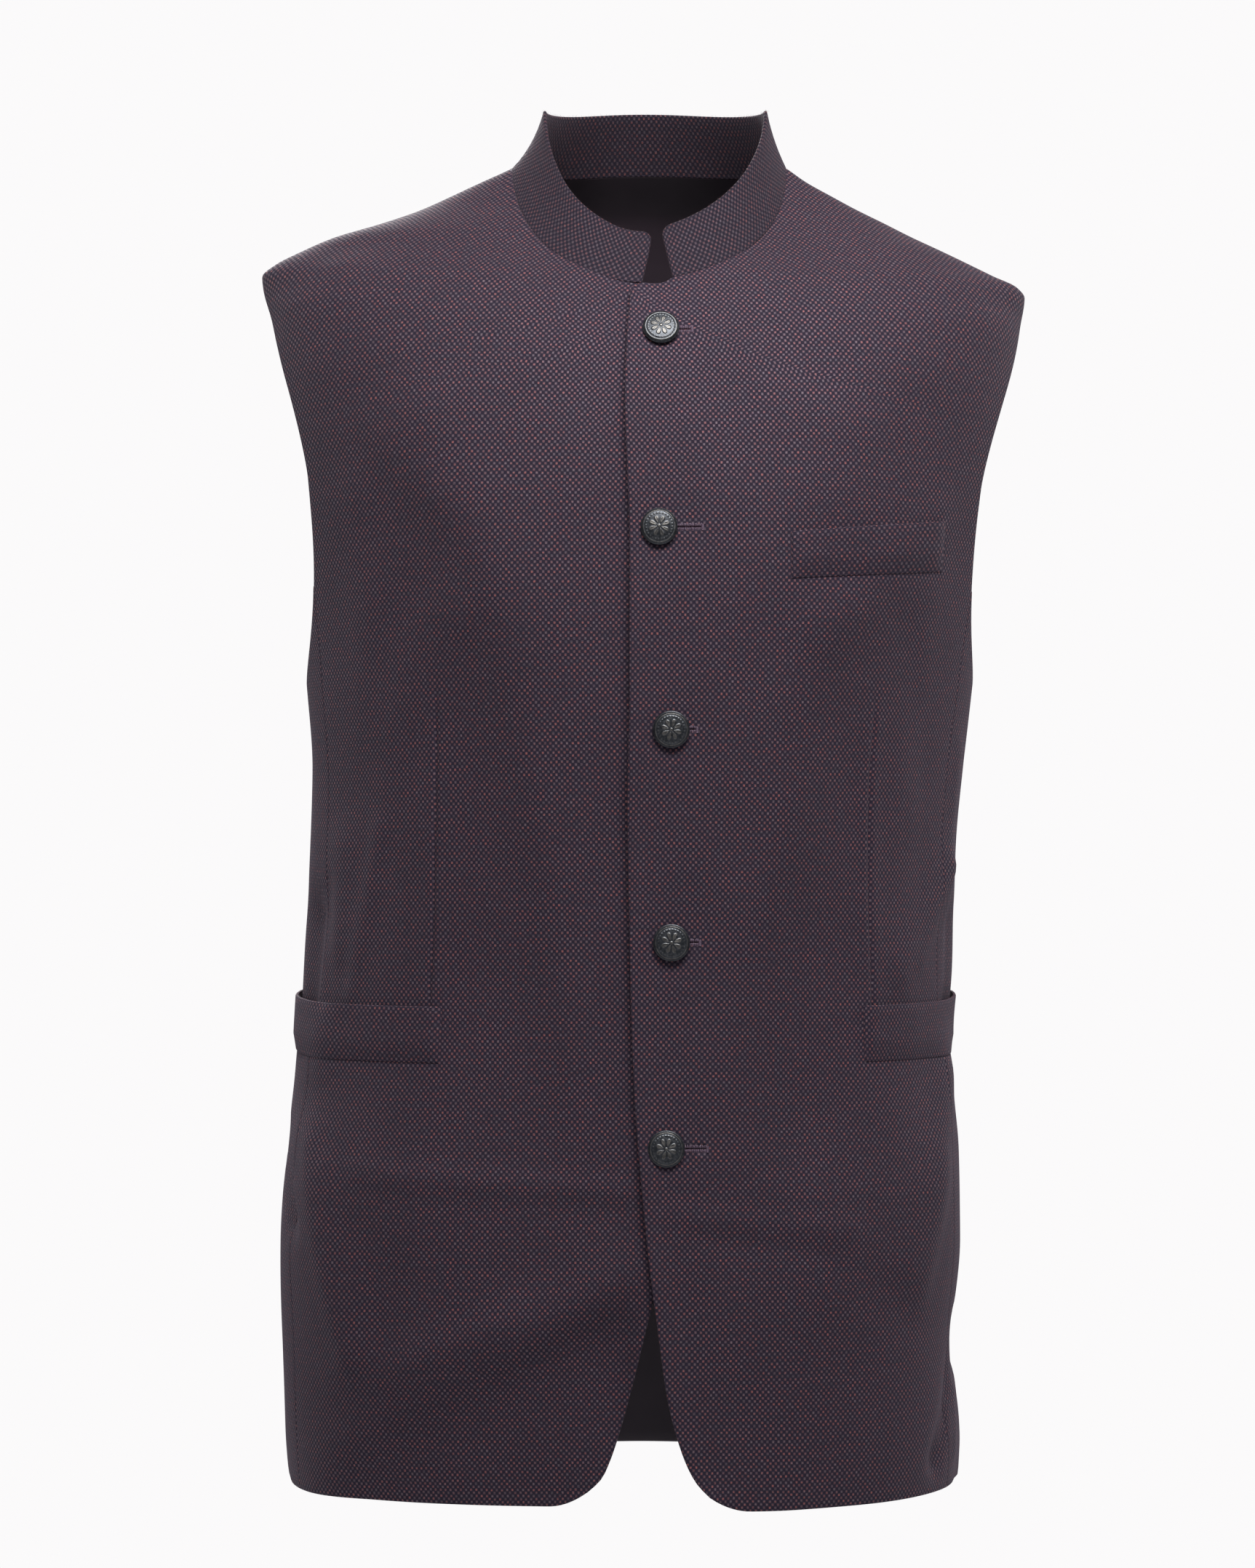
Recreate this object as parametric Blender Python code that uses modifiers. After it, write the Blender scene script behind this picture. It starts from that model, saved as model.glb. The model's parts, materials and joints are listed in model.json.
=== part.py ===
"""A sleeveless nehru jacket in its worn, hollow form, buttoned down the front.

Metres, +Z up. The front faces -Y and the wearer's left is +X. The origin lies midway
between the neck ends of the shoulder seams, where the wearer's shoulders carry the cloth.

The cloth follows one form: level sections through the worn jacket, read at any height
and at any angle round it. The angle is 0 at the middle of the front, 90 degrees at the
wearer's left, 180 at the middle of the back and -90 at the wearer's right.
"""
import math

import bmesh
import bpy
import numpy as np
from mathutils import Matrix, Vector

# Cloth and sewing
WALL = 0.0020
COLLAR_WALL = 0.0022
WELT_WALL = 0.0016
SEAM_GAP = 0.0003
LAYER_GAP = 0.0008
WELT_GAP = 0.0009

# Level sections through the worn jacket. The sides are half widths, the front and the
# back are depths from the origin's plane, and squareness 2 is an ellipse.
SECTION_COLUMNS = ("height", "right_side", "left_side", "front", "back", "squareness")
SECTIONS = (
    (0.030, 0.0300, 0.0330, 0.0010, 0.0540, 2.20),
    (0.012, 0.0560, 0.0620, 0.0050, 0.0700, 2.20),
    (0.000, 0.0750, 0.0815, 0.0130, 0.0820, 2.20),
    (-0.008, 0.0925, 0.0925, 0.0205, 0.0905, 2.20),
    (-0.016, 0.1100, 0.1060, 0.0280, 0.0980, 2.20),
    (-0.024, 0.1280, 0.1200, 0.0355, 0.1020, 2.20),
    (-0.032, 0.1510, 0.1360, 0.0430, 0.1055, 2.20),
    (-0.040, 0.1770, 0.1520, 0.0505, 0.1085, 2.20),
    (-0.048, 0.1948, 0.1695, 0.0585, 0.1110, 2.20),
    (-0.056, 0.2098, 0.1865, 0.0665, 0.1135, 2.20),
    (-0.062, 0.2160, 0.1990, 0.0725, 0.1150, 2.20),
    (-0.068, 0.2154, 0.2120, 0.0780, 0.1168, 2.20),
    (-0.074, 0.2144, 0.2165, 0.0822, 0.1185, 2.21),
    (-0.090, 0.2115, 0.2145, 0.0920, 0.1220, 2.24),
    (-0.120, 0.2095, 0.2125, 0.1055, 0.1270, 2.30),
    (-0.160, 0.2035, 0.2060, 0.1175, 0.1300, 2.38),
    (-0.200, 0.1990, 0.2000, 0.1240, 0.1290, 2.44),
    (-0.260, 0.1930, 0.1915, 0.1275, 0.1240, 2.50),
    (-0.300, 0.1900, 0.1855, 0.1270, 0.1190, 2.50),
    (-0.341, 0.1870, 0.1800, 0.1255, 0.1130, 2.50),
    (-0.391, 0.1890, 0.1765, 0.1240, 0.1080, 2.48),
    (-0.440, 0.1920, 0.1755, 0.1235, 0.1070, 2.46),
    (-0.506, 0.1962, 0.1745, 0.1250, 0.1120, 2.45),
    (-0.556, 0.2020, 0.1780, 0.1270, 0.1170, 2.45),
    (-0.605, 0.2055, 0.1790, 0.1290, 0.1210, 2.44),
    (-0.667, 0.2030, 0.1735, 0.1300, 0.1250, 2.42),
    (-0.715, 0.2020, 0.1765, 0.1300, 0.1270, 2.40),
    (-0.750, 0.1990, 0.1735, 0.1290, 0.1265, 2.40),
)

# The neck seam and the collar's top edge, as ovals seen from above
OVAL_COLUMNS = ("right_side", "left_side", "front", "back", "squareness")
NECK_SEAM = dict(zip(OVAL_COLUMNS, (0.0745, 0.0810, 0.0812, 0.0755, 2.20)))
COLLAR_TOP = dict(zip(OVAL_COLUMNS, (0.0565, 0.0700, 0.0600, 0.0660, 2.10)))
NECK_LOWEST = -0.110
NECK_HIGHEST = 0.028

# The standing collar: its rise from the neck seam, how far its middle falls in, the
# rounding of its ends, and how soon it leaves the slope of the cloth it is sewn to
COLLAR_RISE_FRONT = 0.0310
COLLAR_RISE_BACK = 0.0345
COLLAR_RISE_POWER = 0.7
COLLAR_HOLLOW = {"right": 0.0026, "left": 0.0012}
COLLAR_CORNER = 0.0070
COLLAR_LENGTH = 0.440
COLLAR_END_STEPS = (0.0, 0.012, 0.035, 0.080)
COLLAR_END_CLEAR = 0.120
COLLAR_SEAM_BLEND = 0.5

# Angles of the collar's ends at the neck seam and at the top edge, going round from the
# wearer's left
COLLAR_ENDS = {"left": (11.2, 8.8), "right": (359.2, 364.6)}

# The free edges of the two fronts, as distances from the middle plane. The left front
# laps over the right one, and both swing away above the hem.
EDGE_COLUMNS = ("height", "left_front", "right_front")
FRONT_EDGES = (
    (-0.078, -0.0070, 0.0320),
    (-0.100, -0.0090, 0.0320),
    (-0.140, -0.0104, 0.0320),
    (-0.220, -0.0080, 0.0312),
    (-0.300, -0.0080, 0.0335),
    (-0.360, -0.0090, 0.0350),
    (-0.440, -0.0078, 0.0350),
    (-0.514, -0.0055, 0.0310),
    (-0.572, -0.0010, 0.0205),
    (-0.616, 0.0036, 0.0085),
    (-0.640, 0.0068, 0.0018),
    (-0.660, 0.0094, -0.0030),
    (-0.680, 0.0124, -0.0080),
    (-0.700, 0.0173, -0.0135),
    (-0.715, 0.0225, -0.0186),
    (-0.726, 0.0285, -0.0238),
    (-0.733, 0.0352, -0.0314),
)
HEM_HEIGHT = -0.741
HEM_TURN = 0.022
NECK_EDGE_DROP = 0.0022
NECK_EDGE_BARE = {"left": 0.023, "right": 0.036}
NECK_EDGE_BLEND = 0.006
NECK_CORNER_REACH = 0.016

# How far the lapped fronts leave the form, and over which widths
LAP_RAISE = 0.0012
LAP_SINK = LAYER_GAP + WALL - LAP_RAISE
LAP_BLEND_OVER = (0.045, 0.075)
LAP_BLEND_UNDER = (0.004, 0.030)
LAP_FADE = (-0.650, -0.700)

# Seams and armholes, in the plane seen from the wearer's side
SHOULDER_SEAM_DEPTH = 0.010
SIDE_SEAM_FRONT = -0.045
SIDE_SEAM_BACK = 0.047
SIDE_SEAM_RADIUS = 0.190
ARMHOLE_FRONT = 0.052
ARMHOLE_BACK = 0.062
ARMHOLE_BOTTOM = -0.298
ARMHOLE_TOP = {"right": -0.0600, "left": -0.0725}
ARMHOLE_SQUARENESS = {"upper": 1.45, "lower": 2.15}

# Large folds, as soft ridges and troughs between two places on the form. Angles are in
# degrees, and a negative height is a trough.
FOLD_COLUMNS = ("top_angle", "top", "low_angle", "low", "half_width", "height")
FOLDS = (
    (-70.0, -0.385, -71.0, -0.500, 0.0150, 0.0028),
    (-72.0, -0.545, -61.0, -0.665, 0.0180, 0.0034),
    (-86.0, -0.550, -76.0, -0.590, 0.0090, -0.0034),
    (-98.0, -0.600, -94.0, -0.735, 0.0160, 0.0026),
    (-4.0, -0.618, -46.0, -0.662, 0.0200, 0.0030),
    (-12.0, -0.655, -50.0, -0.705, 0.0200, -0.0022),
    (78.0, -0.395, 62.0, -0.450, 0.0130, 0.0026),
    (77.0, -0.510, 60.0, -0.612, 0.0160, 0.0034),
    (82.0, -0.655, 69.0, -0.722, 0.0085, -0.0046),
    (96.0, -0.690, 92.0, -0.738, 0.0140, 0.0036),
    (40.0, -0.600, 30.0, -0.735, 0.0260, 0.0020),
    (106.0, -0.486, 82.0, -0.486, 0.0220, -0.0018),
    (62.0, -0.150, 50.0, -0.235, 0.0240, -0.0026),
    (-64.0, -0.140, -50.0, -0.235, 0.0240, -0.0026),
    (138.0, -0.120, 146.0, -0.390, 0.0260, -0.0036),
    (-140.0, -0.110, -147.0, -0.360, 0.0260, -0.0036),
    (112.0, -0.330, 150.0, -0.420, 0.0200, 0.0038),
    (-113.0, -0.325, -152.0, -0.415, 0.0200, 0.0038),
    (150.0, -0.445, 205.0, -0.450, 0.0170, 0.0032),
    (128.0, -0.540, 122.0, -0.738, 0.0260, 0.0042),
    (-127.0, -0.520, -123.0, -0.738, 0.0260, 0.0042),
    (176.0, -0.540, 181.0, -0.738, 0.0340, 0.0034),
)
FOLD_RADIUS = 0.165

# The shoulder tips' turn from slope to side is sharp at the armhole alone: away from it,
# over this stretch of angle, the width is averaged with the widths above and below
TIP_ANGLES = (2.7, 12.0)
TIP_REACH = 0.020
TIP_HEIGHTS = (-0.050, -0.030)

# Where the pocket mouths let the cloth behind the hip welts fall in
HOLLOWS = (
    (-81.0, -0.425, -81.0, -0.474, 0.0150, -0.0070),
    (-69.0, -0.455, -69.0, -0.472, 0.0120, -0.0025),
    (82.0, -0.430, 82.0, -0.472, 0.0130, -0.0034),
)

# Pocket welts. The hip welts run from a distance at the front round the sides to an
# angle, rising and standing away towards it. The breast welt is given at its two ends.
HIP_WELT_TOP = -0.4700
HIP_WELT_BOTTOM = -0.5005
HIP_WELT_OUTER_RISE = 0.0035
HIP_WELT_RISE_SPAN = (0.45, 1.0)
HIP_WELT_INNER = {"right": -0.1125, "left": 0.1235}
HIP_WELT_OUTER_ANGLE = 99.0
HIP_WELT_FLARE = 0.0004
HIP_WELT_FLARE_SPAN = (0.35, 0.9)
BREAST_WELT_ENDS = ("distance", "top", "bottom")
BREAST_WELT = (
    (0.0795, -0.2125, -0.2380),
    (0.1700, -0.2045, -0.2325),
)

# Buttons and buttonholes: each button's place on the left front, its turn in degrees,
# and how far each hole's outer end lies from its button
BUTTON_COLUMNS = ("across", "height", "turn", "hole_end")
BUTTONS = (
    (0.0092, -0.1015, 4.0, 0.0170),
    (0.0080, -0.2105, -3.0, 0.0235),
    (0.0145, -0.3195, 5.0, 0.0140),
    (0.0146, -0.4345, -4.0, 0.0155),
    (0.0118, -0.5455, 3.0, 0.0222),
)
BUTTON_RADIUS = 0.0100
BUTTON_EDGE = 0.0012
BUTTON_EDGE_LOW = 0.0005
BUTTON_EDGE_TOP = 0.0011
BUTTON_UNDERSIDE = 0.0093
BUTTON_DOME = 0.0020
BUTTON_DOME_RADIUS = 0.0094
BUTTON_DOME_STEPS = 5
BUTTON_STAND = 0.0013
SHANK_RADIUS = 0.0017
SHANK_COLLAR = 0.0030
SHANK_COLLAR_LOW = -0.0007
SHANK_NECK = -0.0010
EYE_RADIUS = 0.0022
HOLE_LENGTH = 0.0235
HOLE_WIDTH = 0.0012
CUT_DEPTH = 0.0100

# Colours of the wool, of the wool in the welts, and of the buttons' metal
WOOL = (0.070, 0.050, 0.068)
WELT_WOOL = (0.066, 0.047, 0.064)
METAL = (0.060, 0.062, 0.070)
CLOTH_ROUGHNESS = 0.85
METAL_ROUGHNESS = 0.38
METAL_SHARE = 0.9

# Mesh counts, and the small steps that slopes are measured over
FRONT_COLUMNS = 17
FRONT_EDGE_ROWS = 29
FRONT_NECK_ROWS = 12
FRONT_SIDE_ROWS = 19
SIDE_COLUMNS = 7
BACK_SHOULDER_COLUMNS = 7
BACK_NECK_COLUMNS = 14
BACK_ARMHOLE_ROWS = 13
COLLAR_ROWS = 4
WELT_ROWS = 3
HIP_WELT_COLUMNS = 15
BREAST_WELT_COLUMNS = 12
BUTTON_STEPS = 16
EYE_STEPS = 12
SHARP_ANGLE = 40
DENSE = 240
FULL_TURN = 2 * math.pi
TURN_STEP = 1e-3
RISE_STEP = 1e-4


def table(columns, rows):
    """The rows of a table, as one array for each named column."""
    return {name: np.array([row[k] for row in rows]) for k, name in enumerate(columns)}


def smooth(x, knots, values):
    """A smooth curve through knots in rising order that never overshoots them."""
    x = np.clip(x, knots[0], knots[-1])
    step = np.diff(knots)
    slope = np.diff(values) / step
    rate = np.zeros(len(knots))
    before = slope[:-1]
    after = slope[1:]
    near = 2 * step[1:] + step[:-1]
    far = step[1:] + 2 * step[:-1]
    same = before * after > 0
    total = np.where(same, near * after + far * before, 1.0)
    rate[1:-1] = np.where(same, (near + far) * before * after / total, 0.0)
    rate[0] = slope[0]
    rate[-1] = slope[-1]
    k = np.clip(np.searchsorted(knots, x, side="right") - 1, 0, len(step) - 1)
    t = (x - knots[k]) / step[k]
    return (values[k] * (1 + 2 * t) * (1 - t) ** 2 + values[k + 1] * t * t * (3 - 2 * t)
            + step[k] * rate[k] * t * (1 - t) ** 2 - step[k] * rate[k + 1] * t * t * (1 - t))


def ease(x, start, end):
    """0 at start, 1 at end, with a smooth way between."""
    t = np.clip((x - start) / (end - start), 0.0, 1.0)
    return t * t * (3 - 2 * t)


FORM = {name: values[::-1] for name, values in table(SECTION_COLUMNS, SECTIONS).items()}
EDGES = {name: values[::-1] for name, values in table(EDGE_COLUMNS, FRONT_EDGES).items()}


def oval_radius(angle, right_side, left_side, front, back, squareness):
    """Distance from the axis to an oval with four unlike half axes."""
    across = np.sin(angle)
    along = np.cos(angle)
    width = np.where(across >= 0, left_side, right_side)
    depth = np.where(along >= 0, front, back)
    return (np.abs(across / width) ** squareness
            + np.abs(along / depth) ** squareness) ** (-1.0 / squareness)


def section(name, height):
    """One of the sizes of the level section at a height."""
    return smooth(height, FORM["height"], FORM[name])


def form_radius(angle, height):
    """Distance from the axis to the form at an angle and a height."""
    sizes = {name: section(name, height) for name in SECTION_COLUMNS[1:]}
    from_side = np.abs(np.arccos(np.clip(np.cos(angle), -1.0, 1.0)) - math.pi / 2)
    away = ease(from_side, *np.radians(TIP_ANGLES)) * (1 - ease(height, *TIP_HEIGHTS))
    for name in ("right_side", "left_side"):
        around = section(name, height + TIP_REACH) + section(name, height - TIP_REACH)
        sizes[name] = sizes[name] + away * (around - 2 * sizes[name]) / 4
    return oval_radius(angle, **sizes)


def form_point(angle, height):
    """Point of the form, shape (..., 3)."""
    radius = form_radius(angle, height)
    return np.stack([radius * np.sin(angle), -radius * np.cos(angle), height + 0 * radius], axis=-1)


def unit(vectors):
    return vectors / np.linalg.norm(vectors, axis=-1, keepdims=True)


def form_normal(angle, height):
    """Outward unit normal of the form."""
    radius = form_radius(angle, height)
    around = form_radius(angle + TURN_STEP, height) - form_radius(angle - TURN_STEP, height)
    upward = form_radius(angle, height + RISE_STEP) - form_radius(angle, height - RISE_STEP)
    around = around / (2 * TURN_STEP)
    upward = upward / (2 * RISE_STEP)
    return unit(np.stack([radius * np.sin(angle) - around * np.cos(angle),
                          -radius * np.cos(angle) - around * np.sin(angle),
                          -radius * upward], axis=-1))


def bisect(value, low, high, steps=44):
    """Where a rising function of an array crosses zero."""
    low = np.array(low, dtype=float)
    high = np.array(high, dtype=float)
    for _ in range(steps):
        middle = (low + high) / 2
        above = value(middle) > 0
        high = np.where(above, middle, high)
        low = np.where(above, low, middle)
    return (low + high) / 2


def angle_at_across(across, height):
    """Angle on the front half where the form lies this far to the wearer's left."""
    across = np.asarray(across, dtype=float) + 0 * np.asarray(height)
    limit = 0 * across + math.radians(89)
    return bisect(lambda a: form_point(a, height)[..., 0] - across, -limit, limit)


def angle_at_depth(depth, height, side):
    """Angle on one side where the form lies at this depth, 0 being the origin's plane."""
    depth = np.asarray(depth, dtype=float) + 0 * np.asarray(height)
    angle = bisect(lambda a: form_point(a, height)[..., 1] - depth, 0 * depth, 0 * depth + math.pi)
    return angle if side == "left" else -angle


def neck_height(angle, allowance=0.0):
    """Height of the neck seam, where the form meets the neck's oval."""
    target = oval_radius(angle, **NECK_SEAM) + allowance
    low = 0 * target + NECK_LOWEST
    high = 0 * target + NECK_HIGHEST
    return bisect(lambda z: target - form_radius(angle, z), low, high)


def left_edge(height):
    return smooth(height, EDGES["height"], EDGES["left_front"])


def right_edge(height):
    return smooth(height, EDGES["height"], EDGES["right_front"])


def lap(side, across, height):
    """How far a front or a collar end stands off the form where the fronts lap."""
    edge = left_edge(height)
    fade = 1 - ease(height, *LAP_FADE)
    if side == "left":
        return LAP_RAISE * fade * (1 - ease(across - edge, *LAP_BLEND_OVER))
    return -LAP_SINK * fade * (1 - ease(edge - across, *LAP_BLEND_UNDER))


def relief(angle, height, rows):
    """Sum of soft folds, each falling off with the distance from its line."""
    total = 0 * angle
    for row in rows:
        fold = dict(zip(FOLD_COLUMNS, row))
        start = math.radians(fold["top_angle"])
        run = np.array([FOLD_RADIUS * (math.radians(fold["low_angle"]) - start),
                        fold["low"] - fold["top"]])
        away = FOLD_RADIUS * ((angle - start + math.pi) % FULL_TURN - math.pi)
        up = height - fold["top"]
        share = np.clip((away * run[0] + up * run[1]) / (run @ run), 0.0, 1.0)
        distance = np.hypot(away - share * run[0], up - share * run[1])
        total = total + fold["height"] * np.exp(-(distance / fold["half_width"]) ** 2)
    return total


def resample(angles, heights, count):
    """Even steps along a line on the form, as count + 1 pairs of angle and height."""
    points = form_point(angles, heights)
    steps = np.linalg.norm(np.diff(points, axis=0), axis=1)
    length = np.concatenate([[0.0], np.cumsum(steps)])
    wanted = np.linspace(0.0, length[-1], count + 1)
    return np.stack([np.interp(wanted, length, angles), np.interp(wanted, length, heights)], axis=-1)


def joined(*lines):
    """Lines that follow each other, without the shared points."""
    return np.concatenate([lines[0]] + [line[1:] for line in lines[1:]])


def patch(low, top, start, end):
    """Angle and height over a piece from its four edges (low and top run start to end)."""
    across = np.linspace(0, 1, len(low))[None, :, None]
    upward = np.linspace(0, 1, len(start))[:, None, None]
    sides = (1 - across) * start[:, None] + across * end[:, None]
    ends = (1 - upward) * low[None] + upward * top[None]
    corners = ((1 - across) * (1 - upward) * low[0] + across * (1 - upward) * low[-1]
               + (1 - across) * upward * top[0] + across * upward * top[-1])
    grid = sides + ends - corners
    return grid[..., 0], grid[..., 1]


def collar_normal_at_seam(angle):
    """Normal shared by the cloth and the collar where they are sewn together."""
    base, top = collar_lines(angle)
    return unit(form_normal(angle, neck_height(angle)) + collar_normal(angle, top - base))


def collar_normal(angle, upward):
    """Outward normal of the collar band at an angle, given its way up."""
    around = collar_lines(angle + TURN_STEP)[0] - collar_lines(angle - TURN_STEP)[0]
    return unit(np.cross(around, upward))


def collar_lines(angle):
    """Points of the neck seam and of the collar's top edge at an angle."""
    height = neck_height(angle)
    radius = oval_radius(angle, **NECK_SEAM)
    base = np.stack([radius * np.sin(angle), -radius * np.cos(angle), height], axis=-1)
    behind = (1 - np.cos(angle)) / 2
    rise = COLLAR_RISE_FRONT + (COLLAR_RISE_BACK - COLLAR_RISE_FRONT) * behind ** COLLAR_RISE_POWER
    reach = oval_radius(angle, **COLLAR_TOP)
    top = np.stack([reach * np.sin(angle), -reach * np.cos(angle), height + rise], axis=-1)
    return base, top


def armhole_middle(side):
    """Height of an armhole's middle, and half its height."""
    return (ARMHOLE_TOP[side] + ARMHOLE_BOTTOM) / 2, (ARMHOLE_TOP[side] - ARMHOLE_BOTTOM) / 2


def armhole_depth(height, side, forward):
    """Depth of the armhole's front or back edge at a height."""
    middle, half = armhole_middle(side)
    share = np.clip(np.abs((height - middle) / half), 0.0, 1.0)
    power = np.where(height > middle, ARMHOLE_SQUARENESS["upper"], ARMHOLE_SQUARENESS["lower"])
    width = (1 - share ** power) ** (1 / power)
    if forward:
        return SHOULDER_SEAM_DEPTH - (ARMHOLE_FRONT + SHOULDER_SEAM_DEPTH) * width
    return SHOULDER_SEAM_DEPTH + ARMHOLE_BACK * width


def armhole_line(side, forward, seam_depth):
    """Armhole from where it crosses a side seam up to the shoulder seam."""
    middle, half = armhole_middle(side)
    turn = np.linspace(0.0, 1.0, DENSE)
    height = middle - half * np.cos(turn * math.pi)
    depth = armhole_depth(height, side, forward)
    above = depth <= seam_depth if forward else depth >= seam_depth
    keep = above | (turn > 0.5)
    depth[-1] = SHOULDER_SEAM_DEPTH + (-1 if forward else 1) * SEAM_GAP / 2
    return angle_at_depth(depth[keep], height[keep], side), height[keep]


def armhole_crossing(side, forward, seam_depth):
    """Height where the armhole crosses a side seam."""
    sign = -1 if forward else 1
    return float(bisect(lambda z: sign * (armhole_depth(z, side, forward) - seam_depth),
                        ARMHOLE_BOTTOM, armhole_middle(side)[0]))


def seam_turn(side):
    """Half the gap at a side seam, as a turn towards the back."""
    return (1 if side == "left" else -1) * SEAM_GAP / 2 / SIDE_SEAM_RADIUS


def surface(name, colour, roughness, metallic):
    material = bpy.data.materials.new(name)
    material.use_nodes = True
    shader = material.node_tree.nodes["Principled BSDF"]
    shader.inputs["Base Color"].default_value = (*colour, 1.0)
    shader.inputs["Roughness"].default_value = roughness
    shader.inputs["Metallic"].default_value = metallic
    return material


def add_object(name, mesh, material, collection):
    piece = bpy.data.objects.new(name, mesh)
    mesh.materials.append(material)
    collection.objects.link(piece)
    return piece


def add_shell(name, outer, inner, material, collection):
    """A wall between two grids of points whose columns run round towards +angle."""
    rows, columns = outer.shape[:2]
    count = rows * columns
    points = np.concatenate([outer.reshape(-1, 3), inner.reshape(-1, 3)])

    def at(row, column, layer):
        return layer * count + row * columns + column

    faces = []
    for row in range(rows - 1):
        for column in range(columns - 1):
            loop = [(row, column), (row, column + 1), (row + 1, column + 1), (row + 1, column)]
            faces.append([at(r, c, 0) for r, c in loop])
            faces.append([at(r, c, 1) for r, c in reversed(loop)])
    border = [(0, c) for c in range(columns)]
    border += [(r, columns - 1) for r in range(1, rows)]
    border += [(rows - 1, c) for c in range(columns - 2, -1, -1)]
    border += [(r, 0) for r in range(rows - 2, 0, -1)]
    for here, after in zip(border, border[1:] + border[:1]):
        faces.append([at(*after, 0), at(*here, 0), at(*here, 1), at(*after, 1)])
    mesh = bpy.data.meshes.new(name)
    mesh.from_pydata(points.tolist(), [], faces)
    mesh.validate()
    mesh.shade_smooth()
    mesh.set_sharp_from_angle(angle=math.radians(SHARP_ANGLE))
    return add_object(name, mesh, material, collection)


def panel_walls(angle, height, normals=None, lapping=None):
    """Outer and inner points of a cloth panel, whose front may lap or be lapped."""
    base = form_point(angle, height)
    lift = relief(angle, height, FOLDS) + relief(angle, height, HOLLOWS)
    if lapping:
        lift = lift + lap(lapping, base[..., 0], height)
    if normals is None:
        normals = form_normal(angle, height)
    outer = base + lift[..., None] * normals
    inner = base + (lift - WALL)[..., None] * normals
    return outer, inner


def front_grid(side):
    """Angles and heights of a front, from its free edge to its side seam and armhole."""
    edge = left_edge if side == "left" else right_edge
    bottom = FRONT_EDGES[-1][0]
    top = FRONT_EDGES[0][0]
    heights = np.linspace(bottom, top, DENSE)
    free = resample(angle_at_across(edge(heights), heights), heights, FRONT_EDGE_ROWS)

    seam_angle = angle_at_depth(SIDE_SEAM_FRONT, np.array([HEM_HEIGHT]), side)[0]
    seam_angle -= seam_turn(side)
    hem_angles = np.linspace(free[0, 0], seam_angle, DENSE)
    reach = np.abs(form_point(hem_angles, 0 * hem_angles + HEM_HEIGHT)[:, 0] - edge(bottom))
    hem_heights = HEM_HEIGHT + (bottom - HEM_HEIGHT) * (1 - np.clip(reach / HEM_TURN, 0, 1)) ** 2
    hem = resample(hem_angles, hem_heights, FRONT_COLUMNS)

    shoulder_depth = SHOULDER_SEAM_DEPTH - SEAM_GAP / 2
    neck_end = neck_end_angle(side, forward=True)
    neck_angles = np.linspace(free[-1, 0], neck_end, DENSE)
    neck_heights = neck_height(neck_angles, SEAM_GAP / 2)
    beyond = np.abs(form_point(neck_angles, neck_heights)[:, 0] - edge(top))
    drop = (neck_heights[0] - top) * (1 - np.clip(beyond / NECK_CORNER_REACH, 0, 1)) ** 2
    bare = NECK_EDGE_BARE[side]
    drop = np.maximum(drop, NECK_EDGE_DROP * (1 - ease(beyond, bare - NECK_EDGE_BLEND, bare)))
    drop[0] = neck_heights[0] - top
    neck = resample(neck_angles, neck_heights - drop, FRONT_NECK_ROWS)

    crossing = armhole_crossing(side, True, SIDE_SEAM_FRONT)
    seam_heights = np.linspace(HEM_HEIGHT, crossing, DENSE)
    seam_angles = angle_at_depth(SIDE_SEAM_FRONT, seam_heights, side) - seam_turn(side)
    seam = resample(seam_angles, seam_heights, FRONT_SIDE_ROWS)
    arm_rows = FRONT_EDGE_ROWS + FRONT_NECK_ROWS - FRONT_SIDE_ROWS
    armhole = resample(*armhole_line(side, True, SIDE_SEAM_FRONT), arm_rows)
    armhole[0] = seam[-1]

    shoulder_heights = np.linspace(neck[-1, 1], armhole[-1, 1], DENSE)
    shoulder_angles = angle_at_depth(shoulder_depth, shoulder_heights, side)
    shoulder = resample(shoulder_angles, shoulder_heights, FRONT_COLUMNS)
    shoulder[0] = neck[-1]
    shoulder[-1] = armhole[-1]
    return patch(hem, shoulder, joined(free, neck), joined(seam, armhole))


def neck_end_angle(side, forward):
    """Angle where the neck seam meets the shoulder seam."""
    sign = 1 if side == "left" else -1
    depth = SHOULDER_SEAM_DEPTH + (-1 if forward else 1) * SEAM_GAP / 2

    def behind(angle):
        radius = oval_radius(sign * angle, **NECK_SEAM)
        return -radius * np.cos(angle) - depth

    return sign * float(bisect(behind, math.radians(60), math.radians(120)))


def add_front(side, material, collection):
    angle, height = front_grid(side)
    normals = form_normal(angle, height)
    neck = angle[:, 0]
    sewn = np.arange(len(neck)) > FRONT_EDGE_ROWS
    sewn &= neck > collar_end("left") if side == "left" else neck < collar_end("right") - FULL_TURN
    normals[sewn, 0] = collar_normal_at_seam(neck[sewn])
    outer, inner = panel_walls(angle, height, normals, lapping=side)
    if side == "right":
        outer = outer[:, ::-1]
        inner = inner[:, ::-1]
    return add_shell("front_" + side, outer, inner, material, collection)


def side_seam(side, depth, forward, count):
    """A side panel's edge from the hem up to the armhole, half a seam gap inside."""
    inward = seam_turn(side) if forward else -seam_turn(side)
    heights = np.linspace(HEM_HEIGHT, armhole_crossing(side, forward, depth), DENSE)
    return resample(angle_at_depth(depth, heights, side) + inward, heights, count)


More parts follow.
